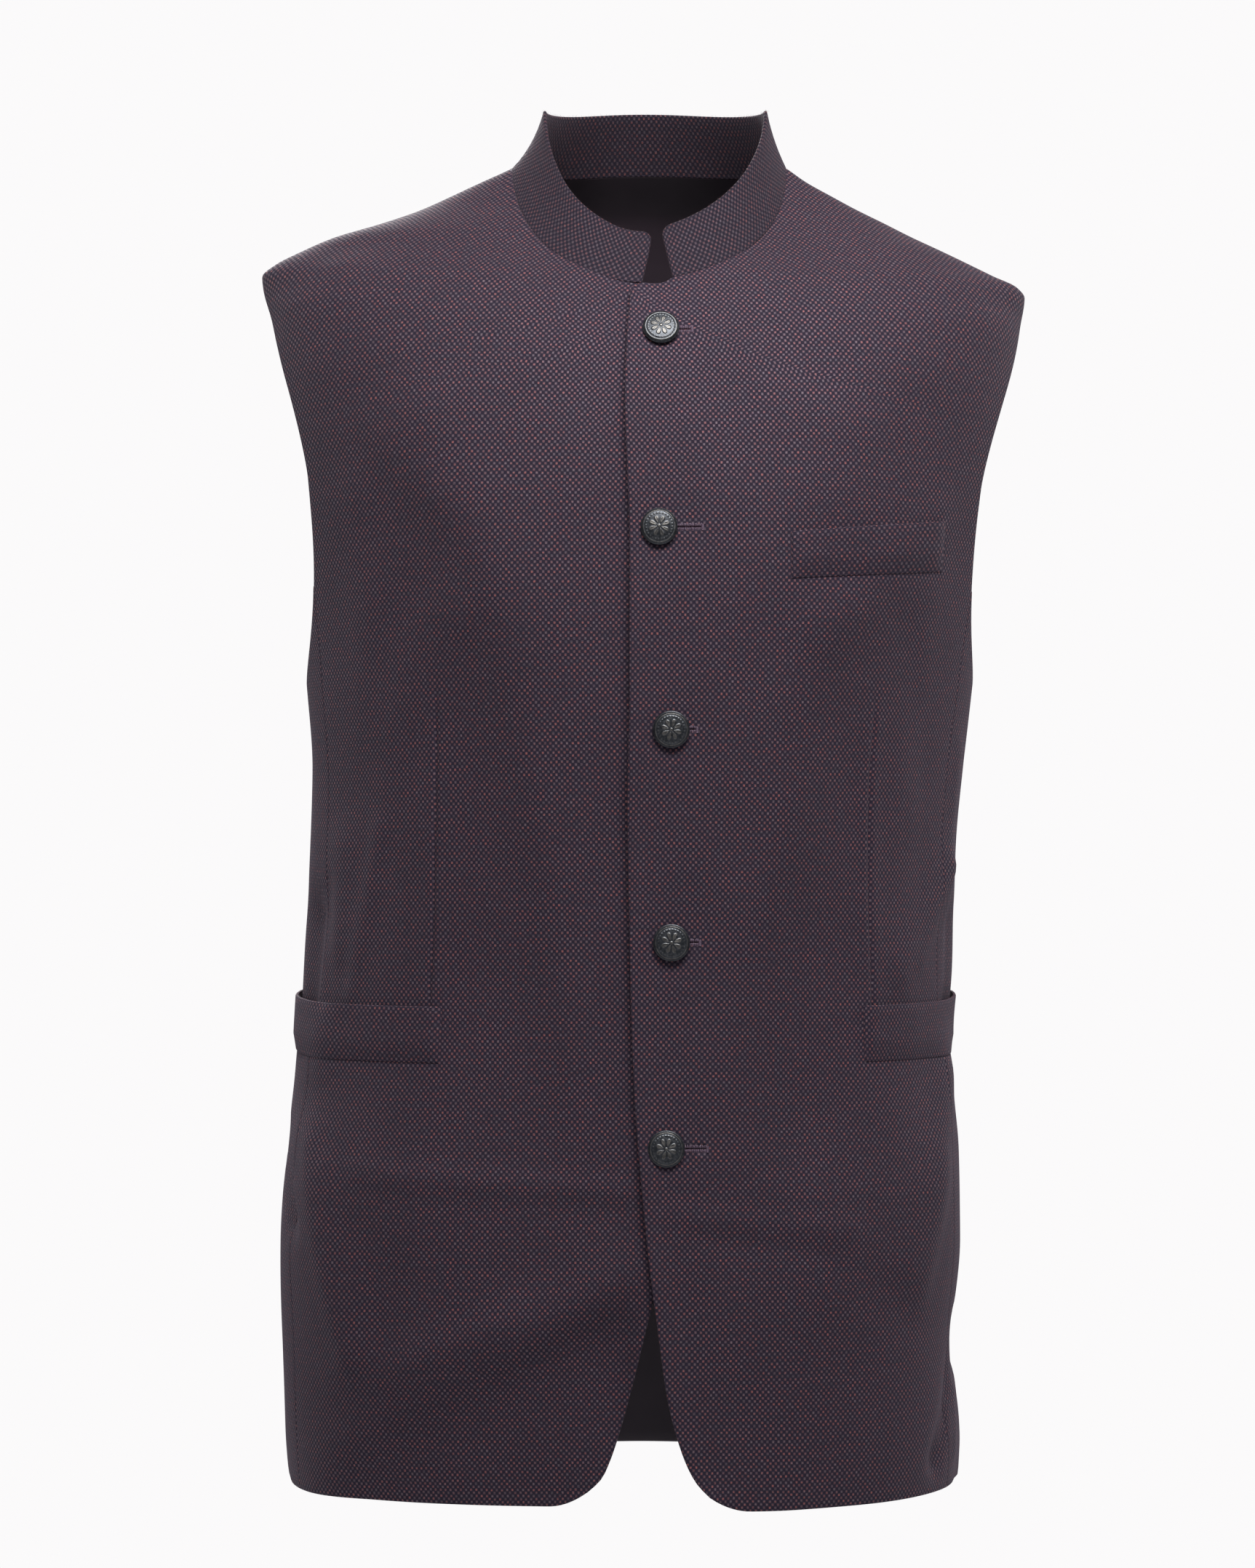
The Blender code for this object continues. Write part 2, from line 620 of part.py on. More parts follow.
def add_side(side, material, collection):
    """The panel under the arm, between the front and the back."""
    ahead = side_seam(side, SIDE_SEAM_FRONT, True, FRONT_SIDE_ROWS)
    behind = side_seam(side, SIDE_SEAM_BACK, False, FRONT_SIDE_ROWS)
    hem_angles = np.linspace(ahead[0, 0], behind[0, 0], DENSE)
    hem = resample(hem_angles, 0 * hem_angles + HEM_HEIGHT, SIDE_COLUMNS)
    turn = np.linspace(0.0, math.pi, DENSE)
    depth = SIDE_SEAM_FRONT + (SIDE_SEAM_BACK - SIDE_SEAM_FRONT) * (1 - np.cos(turn)) / 2
    height = np.where(depth < SHOULDER_SEAM_DEPTH, armhole_floor(depth, side, True),
                      armhole_floor(depth, side, False))
    arc = resample(angle_at_depth(depth, height, side), height, SIDE_COLUMNS)
    arc[0] = ahead[-1]
    arc[-1] = behind[-1]
    angle, height = patch(hem, arc, ahead, behind)
    outer, inner = panel_walls(angle, height)
    if side == "right":
        outer = outer[:, ::-1]
        inner = inner[:, ::-1]
    return add_shell("side_" + side, outer, inner, material, collection)


def armhole_floor(depth, side, forward):
    """Height of the armhole's lower half at a depth."""
    middle, half = armhole_middle(side)
    width = ARMHOLE_FRONT + SHOULDER_SEAM_DEPTH if forward else ARMHOLE_BACK
    share = np.clip(np.abs(depth - SHOULDER_SEAM_DEPTH) / width, 0.0, 1.0)
    power = ARMHOLE_SQUARENESS["lower"]
    return middle - half * (1 - share ** power) ** (1 / power)


def back_edge(side):
    """The back's side seam and armhole on one side, from the hem to the shoulder."""
    heights = np.linspace(HEM_HEIGHT, armhole_crossing(side, False, SIDE_SEAM_BACK), DENSE)
    angles = angle_at_depth(SIDE_SEAM_BACK, heights, side) + seam_turn(side)
    seam = resample(angles, heights, FRONT_SIDE_ROWS)
    armhole = resample(*armhole_line(side, False, SIDE_SEAM_BACK), BACK_ARMHOLE_ROWS)
    armhole[0] = seam[-1]
    return joined(seam, armhole)


def back_grid():
    """Angles and heights of the back, from the wearer's left round to the right."""
    start = back_edge("left")
    end = back_edge("right") + np.array([FULL_TURN, 0.0])
    hem_angles = np.linspace(start[0, 0], end[0, 0], DENSE)
    columns = 2 * BACK_SHOULDER_COLUMNS + BACK_NECK_COLUMNS
    hem = resample(hem_angles, 0 * hem_angles + HEM_HEIGHT, columns)
    left_end = neck_end_angle("left", forward=False)
    right_end = neck_end_angle("right", forward=False) + FULL_TURN
    neck_angles = np.linspace(left_end, right_end, DENSE)
    neck = resample(neck_angles, neck_height(neck_angles, SEAM_GAP / 2), BACK_NECK_COLUMNS)
    depth = SHOULDER_SEAM_DEPTH + SEAM_GAP / 2
    lines = []
    for side, first, last in (("left", start[-1, 1], neck[0, 1]), ("right", neck[-1, 1], end[-1, 1])):
        heights = np.linspace(first, last, DENSE)
        angles = angle_at_depth(depth, heights, side)
        angles = angles if side == "left" else angles + FULL_TURN
        lines.append(resample(angles, heights, BACK_SHOULDER_COLUMNS))
    top = joined(lines[0], neck, lines[1])
    top[0] = start[-1]
    top[-1] = end[-1]
    return patch(hem, top, start, end)


def add_back(material, collection):
    angle, height = back_grid()
    normals = form_normal(angle, height)
    neck = slice(BACK_SHOULDER_COLUMNS, BACK_SHOULDER_COLUMNS + BACK_NECK_COLUMNS + 1)
    normals[-1, neck] = collar_normal_at_seam(angle[-1, neck])
    outer, inner = panel_walls(angle, height, normals)
    return add_shell("back", outer, inner, material, collection)


def collar_end(side):
    """Angle of a collar end at the neck seam, going round from the wearer's left."""
    return math.radians(COLLAR_ENDS[side][0])


def collar_base_angles():
    """Angles round the neck seam that the collar shares with the fronts and the back."""
    ends = {side: collar_end(side) for side in ("left", "right")}
    left = front_grid("left")[0][FRONT_EDGE_ROWS:, 0]
    right = front_grid("right")[0][FRONT_EDGE_ROWS:, 0] + FULL_TURN
    neck = slice(BACK_SHOULDER_COLUMNS, BACK_SHOULDER_COLUMNS + BACK_NECK_COLUMNS + 1)
    back = back_grid()[0][-1, neck]
    angles = np.concatenate([left[:-1], back, right[-2::-1]])
    angles = angles[angles > ends["left"] + COLLAR_END_CLEAR]
    angles = angles[angles < ends["right"] - COLLAR_END_CLEAR]
    steps = np.array(COLLAR_END_STEPS)
    return np.concatenate([ends["left"] + steps, angles, ends["right"] - steps[::-1]])


def add_collar(material, collection):
    """The standing band, with its two ends rounded at the top."""
    left_base, left_top = np.radians(COLLAR_ENDS["left"])
    right_base, right_top = np.radians(COLLAR_ENDS["right"])
    base_angle = collar_base_angles()
    share = (base_angle - left_base) / (right_base - left_base)
    rows = np.linspace(0.0, 1.0, COLLAR_ROWS + 1)[:, None]
    top_angle = left_top + (right_top - left_top) * share
    from_end = np.minimum(share, 1 - share) * COLLAR_LENGTH
    inside = np.clip(COLLAR_CORNER - from_end, 0.0, COLLAR_CORNER)
    cut = (COLLAR_CORNER - np.sqrt(COLLAR_CORNER ** 2 - inside ** 2)) / COLLAR_RISE_BACK
    level = rows * (1 - cut)
    angle = base_angle + (top_angle - base_angle) * level
    base, top = collar_lines(angle)
    blend = ease(level, 0.0, COLLAR_SEAM_BLEND)[..., None]
    normal = collar_normal_at_seam(angle) * (1 - blend) + collar_normal(angle, top - base) * blend
    normal = unit(normal)
    along = unit(top - base)
    gap = SEAM_GAP / 2 * (1 - level[..., None])
    line = base + (top - base) * level[..., None] + along * gap
    across = line[..., 0]
    left_half = angle < math.pi
    height = 0 * across + FRONT_EDGES[0][0]
    near_front = np.cos(angle) > 0
    lift = np.where(left_half, lap("left", across, height), lap("right", across, height))
    hollow = np.where(left_half, COLLAR_HOLLOW["left"], COLLAR_HOLLOW["right"]) * np.sin(angle) ** 2
    lift = np.where(near_front, lift, 0.0) - hollow * 4 * level * (1 - level)
    outer = line + lift[..., None] * normal
    inner = line + (lift - COLLAR_WALL)[..., None] * normal
    return add_shell("collar", outer, inner, material, collection)


def welt_walls(angle, height, lift):
    """Outer and inner points of a welt that lies on the cloth."""
    base = form_point(angle, height)
    normals = form_normal(angle, height)
    lift = lift + relief(angle, height, FOLDS) + WELT_GAP
    return base + (lift + WELT_WALL)[..., None] * normals, base + lift[..., None] * normals


def add_hip_welt(side, material, collection):
    """A welt from the front round to the side, its outer end standing away a little."""
    sign = 1 if side == "left" else -1
    columns = np.linspace(0.0, 1.0, HIP_WELT_COLUMNS + 1)[None, :]
    rows = np.linspace(0.0, 1.0, WELT_ROWS + 1)[:, None]
    outer_angle = sign * math.radians(HIP_WELT_OUTER_ANGLE)
    inner_angle = angle_at_across(HIP_WELT_INNER[side], np.array([HIP_WELT_TOP]))[0]
    angle = inner_angle + (outer_angle - inner_angle) * columns + 0 * rows
    rise = HIP_WELT_OUTER_RISE * ease(columns, *HIP_WELT_RISE_SPAN)
    low = HIP_WELT_BOTTOM + rise
    height = low + (HIP_WELT_TOP + rise - low) * rows
    flare = HIP_WELT_FLARE * ease(columns, *HIP_WELT_FLARE_SPAN) * rows
    outer, inner = welt_walls(angle, height, flare)
    if side == "right":
        outer = outer[:, ::-1]
        inner = inner[:, ::-1]
    return add_shell("hip_welt_" + side, outer, inner, material, collection)


def add_breast_welt(material, collection):
    columns = np.linspace(0.0, 1.0, BREAST_WELT_COLUMNS + 1)[None, :]
    rows = np.linspace(0.0, 1.0, WELT_ROWS + 1)[:, None]
    ends = table(BREAST_WELT_ENDS, BREAST_WELT)
    line = {name: values[0] + (values[1] - values[0]) * columns for name, values in ends.items()}
    height = line["bottom"] + (line["top"] - line["bottom"]) * rows
    angle = angle_at_across(line["distance"] + 0 * rows, height)
    outer, inner = welt_walls(angle, height, 0 * height)
    return add_shell("breast_welt", outer, inner, material, collection)


def button_place(across, height):
    """Point on the left front's outer face, its normal and the level direction along it."""
    height = np.array([height])
    angle = angle_at_across(across, height)
    base = form_point(angle, height)
    normal = form_normal(angle, height)
    lift = relief(angle, height, FOLDS) + lap("left", base[..., 0], height)
    point = Vector(base[0] + lift[0] * normal[0])
    normal = Vector(normal[0])
    level = Vector((0, 0, 1)).cross(normal).normalized()
    return point, normal, level


def button_profile():
    """Half outline of a domed shank button, from the dome's top down to the shank's end."""
    shank_end = -(BUTTON_STAND + WALL + LAYER_GAP - SEAM_GAP)
    dome = [(BUTTON_DOME_RADIUS * math.sin(t), BUTTON_EDGE + BUTTON_DOME * math.cos(t))
            for t in np.linspace(0.0, math.pi / 2, BUTTON_DOME_STEPS)]
    edge = [(BUTTON_RADIUS, BUTTON_EDGE_TOP), (BUTTON_RADIUS, BUTTON_EDGE_LOW), (BUTTON_UNDERSIDE, 0.0)]
    shank = [(SHANK_COLLAR, 0.0), (SHANK_COLLAR, SHANK_COLLAR_LOW), (SHANK_RADIUS, SHANK_NECK),
             (SHANK_RADIUS, shank_end), (0.0, shank_end)]
    return dome + edge + shank


def button_frame(point, normal, level):
    """Axes on the cloth: level along it, up it, and out of it."""
    frame = Matrix((level, normal.cross(level), normal)).transposed().to_4x4()
    frame.translation = point
    return frame


def add_button(number, across, height, turn, material, collection):
    mesh = bpy.data.meshes.new("button_%d" % number)
    shape = bmesh.new()
    line = [shape.verts.new((r, 0.0, z)) for r, z in button_profile()]
    for here, after in zip(line, line[1:]):
        shape.edges.new((here, after))
    shape.to_mesh(mesh)
    shape.free()
    button = add_object("button_%d" % number, mesh, material, collection)
    screw = button.modifiers.new("Turned", "SCREW")
    screw.axis = "Z"
    screw.steps = BUTTON_STEPS
    screw.render_steps = BUTTON_STEPS
    screw.use_merge_vertices = True
    screw.merge_threshold = 0.0001
    screw.use_smooth_shade = True
    point, normal, level = button_place(across, height)
    frame = button_frame(point + normal * BUTTON_STAND, normal, level)
    button.matrix_world = frame @ Matrix.Rotation(math.radians(turn), 4, "Z")


def add_cutter(name, shape, frame, collection):
    mesh = bpy.data.meshes.new(name)
    shape.to_mesh(mesh)
    shape.free()
    cutter = bpy.data.objects.new(name, mesh)
    cutter.matrix_world = frame
    collection.objects.link(cutter)
    cutter.hide_render = True
    cutter.display_type = "WIRE"
    return cutter


def add_hole_cutters(number, across, height, hole_end, collection):
    """A slit along the hole, and a round place in it for the shank."""
    frame = button_frame(*button_place(across, height))
    eye = bmesh.new()
    bmesh.ops.create_cone(eye, cap_ends=True, segments=EYE_STEPS, radius1=EYE_RADIUS,
                          radius2=EYE_RADIUS, depth=CUT_DEPTH)
    slit = bmesh.new()
    bmesh.ops.create_cube(slit, size=1.0)
    bmesh.ops.scale(slit, verts=slit.verts, vec=(HOLE_LENGTH, HOLE_WIDTH, CUT_DEPTH))
    bmesh.ops.translate(slit, verts=slit.verts, vec=(hole_end - HOLE_LENGTH / 2, 0.0, 0.0))
    return (add_cutter("eye_cut_%d" % number, eye, frame, collection),
            add_cutter("slit_cut_%d" % number, slit, frame, collection))


def cut(piece, cutter):
    boolean = piece.modifiers.new(cutter.name, "BOOLEAN")
    boolean.operation = "DIFFERENCE"
    boolean.solver = "EXACT"
    boolean.object = cutter


def main():
    for leftover in list(bpy.data.objects):
        bpy.data.objects.remove(leftover)
    jacket = bpy.data.collections.new("nehru_jacket")
    cutters = bpy.data.collections.new("cutters")
    bpy.context.scene.collection.children.link(jacket)
    bpy.context.scene.collection.children.link(cutters)
    wool = surface("plum_birdseye_wool", WOOL, CLOTH_ROUGHNESS, 0.0)
    welt_wool = surface("plum_birdseye_wool_welt", WELT_WOOL, CLOTH_ROUGHNESS, 0.0)
    metal = surface("dark_button_metal", METAL, METAL_ROUGHNESS, METAL_SHARE)
    left_front = add_front("left", wool, jacket)
    add_front("right", wool, jacket)
    for side in ("left", "right"):
        add_side(side, wool, jacket)
        add_hip_welt(side, welt_wool, jacket)
    add_back(wool, jacket)
    add_collar(wool, jacket)
    add_breast_welt(welt_wool, jacket)
    for number, row in enumerate(BUTTONS, start=1):
        button = dict(zip(BUTTON_COLUMNS, row))
        hole_end = button.pop("hole_end")
        add_button(number, material=metal, collection=jacket, **button)
        for cutter in add_hole_cutters(number, button["across"], button["height"], hole_end, cutters):
            cut(left_front, cutter)


main()
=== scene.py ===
import json
import math

import bmesh
import bpy
import numpy as np
from mathutils import Matrix, Vector

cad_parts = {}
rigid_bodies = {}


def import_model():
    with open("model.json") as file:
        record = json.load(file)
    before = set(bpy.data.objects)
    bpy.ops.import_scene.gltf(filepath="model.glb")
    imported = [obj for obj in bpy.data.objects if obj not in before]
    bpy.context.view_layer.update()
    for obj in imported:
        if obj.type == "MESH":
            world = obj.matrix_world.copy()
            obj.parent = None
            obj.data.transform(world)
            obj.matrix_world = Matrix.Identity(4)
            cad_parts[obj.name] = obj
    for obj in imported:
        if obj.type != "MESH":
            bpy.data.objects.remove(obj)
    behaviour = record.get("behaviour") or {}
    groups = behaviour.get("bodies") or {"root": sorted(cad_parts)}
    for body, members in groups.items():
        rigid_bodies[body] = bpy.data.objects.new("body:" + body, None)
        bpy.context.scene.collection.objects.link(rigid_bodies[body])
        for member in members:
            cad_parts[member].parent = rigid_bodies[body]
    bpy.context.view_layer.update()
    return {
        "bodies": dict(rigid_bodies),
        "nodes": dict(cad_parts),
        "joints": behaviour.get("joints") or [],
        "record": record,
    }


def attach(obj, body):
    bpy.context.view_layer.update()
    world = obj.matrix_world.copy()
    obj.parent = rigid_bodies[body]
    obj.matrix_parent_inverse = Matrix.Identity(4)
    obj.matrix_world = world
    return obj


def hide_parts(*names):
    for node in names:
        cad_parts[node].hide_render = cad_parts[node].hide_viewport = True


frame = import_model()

# Cloth and sewing. The seams are drawn nearly closed.
WALL = 0.0020
COLLAR_WALL = 0.0022
WELT_WALL = 0.0016
SEAM_GAP = 0.00006
LAYER_GAP = 0.0008
WELT_GAP = 0.0009

# Level sections through the worn jacket. The sides are half widths, the front and the
# back are depths from the origin's plane, and squareness 2 is an ellipse.
SECTION_COLUMNS = ("height", "right_side", "left_side", "front", "back", "squareness")
SECTIONS = (
    (0.030, 0.0300, 0.0330, 0.0010, 0.0540, 2.20),
    (0.012, 0.0560, 0.0620, 0.0050, 0.0700, 2.20),
    (0.000, 0.0750, 0.0815, 0.0130, 0.0820, 2.20),
    (-0.008, 0.0925, 0.0925, 0.0205, 0.0905, 2.20),
    (-0.016, 0.1100, 0.1060, 0.0280, 0.0980, 2.20),
    (-0.024, 0.1280, 0.1200, 0.0355, 0.1020, 2.20),
    (-0.032, 0.1510, 0.1360, 0.0430, 0.1055, 2.20),
    (-0.040, 0.1770, 0.1520, 0.0505, 0.1085, 2.20),
    (-0.048, 0.1948, 0.1695, 0.0585, 0.1110, 2.20),
    (-0.056, 0.2098, 0.1865, 0.0665, 0.1135, 2.20),
    (-0.062, 0.2160, 0.1990, 0.0725, 0.1150, 2.20),
    (-0.068, 0.2154, 0.2120, 0.0780, 0.1168, 2.20),
    (-0.074, 0.2144, 0.2165, 0.0822, 0.1185, 2.21),
    (-0.090, 0.2115, 0.2145, 0.0920, 0.1220, 2.24),
    (-0.120, 0.2095, 0.2125, 0.1055, 0.1270, 2.30),
    (-0.160, 0.2035, 0.2060, 0.1175, 0.1300, 2.38),
    (-0.200, 0.1990, 0.2000, 0.1240, 0.1290, 2.44),
    (-0.260, 0.1930, 0.1915, 0.1275, 0.1240, 2.50),
    (-0.300, 0.1900, 0.1855, 0.1270, 0.1190, 2.50),
    (-0.341, 0.1870, 0.1800, 0.1255, 0.1130, 2.50),
    (-0.391, 0.1890, 0.1765, 0.1240, 0.1080, 2.48),
    (-0.440, 0.1920, 0.1755, 0.1235, 0.1070, 2.46),
    (-0.506, 0.1962, 0.1745, 0.1250, 0.1120, 2.45),
    (-0.556, 0.2020, 0.1780, 0.1270, 0.1170, 2.45),
    (-0.605, 0.2055, 0.1790, 0.1290, 0.1210, 2.44),
    (-0.667, 0.2030, 0.1735, 0.1300, 0.1250, 2.42),
    (-0.715, 0.2020, 0.1765, 0.1300, 0.1270, 2.40),
    (-0.750, 0.1990, 0.1735, 0.1290, 0.1265, 2.40),
)

# The neck seam and the collar's top edge, as ovals seen from above
OVAL_COLUMNS = ("right_side", "left_side", "front", "back", "squareness")
NECK_SEAM = dict(zip(OVAL_COLUMNS, (0.0745, 0.0810, 0.0812, 0.0755, 2.20)))
COLLAR_TOP = dict(zip(OVAL_COLUMNS, (0.0565, 0.0700, 0.0600, 0.0660, 2.10)))
NECK_LOWEST = -0.110
NECK_HIGHEST = 0.028

# The standing collar: its rise from the neck seam, how far its middle falls in, the
# rounding of its ends, and how soon it leaves the slope of the cloth it is sewn to
COLLAR_RISE_FRONT = 0.0310
COLLAR_RISE_BACK = 0.0345
COLLAR_RISE_POWER = 0.7
COLLAR_HOLLOW = {"right": 0.0026, "left": 0.0012}
COLLAR_CORNER = 0.0070
COLLAR_LENGTH = 0.440
COLLAR_SEAM_BLEND = 0.5

# Angles of the collar's ends at the neck seam and at the top edge, going round from the
# wearer's left
COLLAR_ENDS = {"left": (11.2, 8.8), "right": (359.2, 364.6)}

# The free edges of the two fronts, as distances from the middle plane. The left front
# laps over the right one, and both swing away above the hem.
EDGE_COLUMNS = ("height", "left_front", "right_front")
FRONT_EDGES = (
    (-0.078, -0.0070, 0.0320),
    (-0.100, -0.0090, 0.0320),
    (-0.140, -0.0104, 0.0320),
    (-0.220, -0.0080, 0.0312),
    (-0.300, -0.0080, 0.0335),
    (-0.360, -0.0090, 0.0350),
    (-0.440, -0.0078, 0.0350),
    (-0.514, -0.0055, 0.0310),
    (-0.572, -0.0010, 0.0205),
    (-0.616, 0.0036, 0.0085),
    (-0.640, 0.0068, 0.0018),
    (-0.660, 0.0094, -0.0030),
    (-0.680, 0.0124, -0.0080),
    (-0.700, 0.0173, -0.0135),
    (-0.715, 0.0225, -0.0186),
    (-0.726, 0.0285, -0.0238),
    (-0.733, 0.0352, -0.0314),
)
HEM_HEIGHT = -0.741
HEM_TURN = 0.022
NECK_EDGE_DROP = 0.0022
NECK_EDGE_BARE = {"left": 0.023, "right": 0.036}
NECK_EDGE_BLEND = 0.006
NECK_CORNER_REACH = 0.016

# How far the lapped fronts leave the form, and over which widths
LAP_RAISE = 0.0012
LAP_SINK = LAYER_GAP + WALL - LAP_RAISE
LAP_BLEND_OVER = (0.045, 0.075)
LAP_BLEND_UNDER = (0.004, 0.030)
LAP_FADE = (-0.650, -0.700)

# Seams and armholes, in the plane seen from the wearer's side
SHOULDER_SEAM_DEPTH = 0.010
SIDE_SEAM_FRONT = -0.045
SIDE_SEAM_BACK = 0.047
SIDE_SEAM_RADIUS = 0.190
ARMHOLE_FRONT = 0.052
ARMHOLE_BACK = 0.062
ARMHOLE_BOTTOM = -0.298
ARMHOLE_TOP = {"right": -0.0600, "left": -0.0725}
ARMHOLE_SQUARENESS = {"upper": 1.45, "lower": 2.15}

# Large folds, as soft ridges and troughs between two places on the form. Angles are in
# degrees, and a negative height is a trough.
FOLD_COLUMNS = ("top_angle", "top", "low_angle", "low", "half_width", "height")
FOLDS = (
    (-70.0, -0.385, -71.0, -0.500, 0.0150, 0.0028),
    (-72.0, -0.545, -61.0, -0.665, 0.0180, 0.0034),
    (-86.0, -0.550, -76.0, -0.590, 0.0090, -0.0034),
    (-98.0, -0.600, -94.0, -0.735, 0.0160, 0.0026),
    (-4.0, -0.618, -46.0, -0.662, 0.0200, 0.0030),
    (-12.0, -0.655, -50.0, -0.705, 0.0200, -0.0022),
    (78.0, -0.395, 62.0, -0.450, 0.0130, 0.0026),
    (77.0, -0.510, 60.0, -0.612, 0.0160, 0.0034),
    (82.0, -0.655, 69.0, -0.722, 0.0085, -0.0046),
    (96.0, -0.690, 92.0, -0.738, 0.0140, 0.0036),
    (40.0, -0.600, 30.0, -0.735, 0.0260, 0.0020),
    (106.0, -0.486, 82.0, -0.486, 0.0220, -0.0018),
    (62.0, -0.150, 50.0, -0.235, 0.0240, -0.0026),
    (-64.0, -0.140, -50.0, -0.235, 0.0240, -0.0026),
    (138.0, -0.120, 146.0, -0.390, 0.0260, -0.0036),
    (-140.0, -0.110, -147.0, -0.360, 0.0260, -0.0036),
    (112.0, -0.330, 150.0, -0.420, 0.0200, 0.0038),
    (-113.0, -0.325, -152.0, -0.415, 0.0200, 0.0038),
    (150.0, -0.445, 205.0, -0.450, 0.0170, 0.0032),
    (128.0, -0.540, 122.0, -0.738, 0.0260, 0.0042),
    (-127.0, -0.520, -123.0, -0.738, 0.0260, 0.0042),
    (176.0, -0.540, 181.0, -0.738, 0.0340, 0.0034),
)
FOLD_RADIUS = 0.165

# The shoulder tips' turn from slope to side is sharp at the armhole alone: away from it,
# over this stretch of angle, the width is averaged with the widths above and below
TIP_ANGLES = (2.7, 12.0)
TIP_REACH = 0.020
TIP_HEIGHTS = (-0.050, -0.030)

# Where the pocket mouths let the cloth behind the hip welts fall in
HOLLOWS = (
    (-81.0, -0.425, -81.0, -0.474, 0.0150, -0.0070),
    (-69.0, -0.455, -69.0, -0.472, 0.0120, -0.0025),
    (82.0, -0.430, 82.0, -0.472, 0.0130, -0.0034),
)

# Pocket welts. The hip welts run from a distance at the front round the sides to an
# angle, rising and standing away towards it. The breast welt is given at its two ends.
HIP_WELT_TOP = -0.4700
HIP_WELT_BOTTOM = -0.5005
HIP_WELT_OUTER_RISE = 0.0035
HIP_WELT_RISE_SPAN = (0.45, 1.0)
HIP_WELT_INNER = {"right": -0.1125, "left": 0.1235}
HIP_WELT_OUTER_ANGLE = 99.0
HIP_WELT_FLARE = 0.0004
HIP_WELT_FLARE_SPAN = (0.35, 0.9)
BREAST_WELT_ENDS = ("distance", "top", "bottom")
BREAST_WELT = (
    (0.0795, -0.2125, -0.2380),
    (0.1700, -0.2045, -0.2325),
)

# Buttons and buttonholes: each button's place on the left front, its turn in degrees,
# and how far each hole's outer end lies from its button
BUTTON_COLUMNS = ("across", "height", "turn", "hole_end")
BUTTONS = (
    (0.0092, -0.1015, 4.0, 0.0170),
    (0.0080, -0.2105, -3.0, 0.0235),
    (0.0145, -0.3195, 5.0, 0.0140),
    (0.0146, -0.4345, -4.0, 0.0155),
    (0.0118, -0.5455, 3.0, 0.0222),
)
BUTTON_RADIUS = 0.0100
BUTTON_EDGE = 0.0012
BUTTON_EDGE_LOW = 0.0005
BUTTON_UNDERSIDE = 0.0093
BUTTON_DOME = 0.0020
BUTTON_DOME_RADIUS = 0.0094
BUTTON_STAND = 0.0013
BUTTON_CORNER_IN = 0.0002
BUTTON_CORNER_TOP = 0.00005
BUTTON_CORNER_LOW = 0.0003
SHANK_COLLAR_TOP = 0.0001
SHANK_END_SHARE = 0.4
SHANK_RADIUS = 0.0017
SHANK_COLLAR = 0.0030
SHANK_COLLAR_LOW = -0.0007
SHANK_NECK = -0.0010
HOLE_LENGTH = 0.0235
CUT_DEPTH = 0.0100

FULL_TURN = 2 * math.pi
TURN_STEP = 1e-3
RISE_STEP = 1e-4
DENSE = 240

# Where one line of a front's outline passes into the next, as shares of its length
FRONT_CORNER = 0.707
SIDE_CORNER = 0.463
BACK_CORNER = 0.594
BACK_SHOULDER = 0.25

# Spacing of the cloth's mesh, and how its edges roll over: the share of the roll's radius
# that each line of the mesh lies from the edge, the pieces' rough widths and heights that
# set the number of lines, and the roll's radius at free edges and at seams
CLOTH_STEP = 0.0042
ROLL_LINES = (0.0, 0.12, 0.45, 1.0)
FRONT_SIZE = (0.235, 0.86)
SIDE_SIZE = (0.098, 0.49)
BACK_SIZE = (0.50, 0.74)
FREE_ROLL = 0.00095
SEAM_ROLL = 0.00045
WELT_ROLL = 0.00060
NECK_SEAM_REACH = 0.009

# Degrees from the front between which the shoulder seams meet the neck
NECK_END_SEARCH = (60, 120)

# Columns and rows of the coarser grids that are laid flat for the weave
FRONT_CUT_GRID = (33, 81)
SIDE_CUT_GRID = (17, 61)
BACK_CUT_GRID = (57, 75)

# How far each front's free edge stands up, and over what width
EDGE_STAND = {"left": 0.0025, "right": 0.0}
EDGE_STAND_REACH = 0.009

# The darts, as places on each front from the top down, the shape of their furrow, and
# the shares of a front's width at which its line is looked for and columns are laid
DART_COLUMNS = ("distance", "height")
DARTS = {
    "right": ((-0.1165, -0.279), (-0.1172, -0.360), (-0.1180, -0.430), (-0.1200, -0.4705)),
    "left": ((0.1310, -0.290), (0.1285, -0.350), (0.1280, -0.420), (0.1292, -0.4705)),
}
DART_LINES = (-0.0060, -0.0035, -0.0018, -0.0008, 0.0, 0.0008, 0.0018, 0.0035, 0.0060)
DART_DEPTH = 0.00150
DART_HALF_WIDTH = 0.0010
DART_SWELL = 0.0009
DART_SWELL_WIDTH = 0.0065
DART_TOP_FADE = 0.055
DART_LOW_FADE = 0.004
DART_TRIES = (0.02, 0.98, 97)
DART_LIMITS = (0.35, 0.75)
DART_COLUMN_SHARES = (0.52, 0.46)

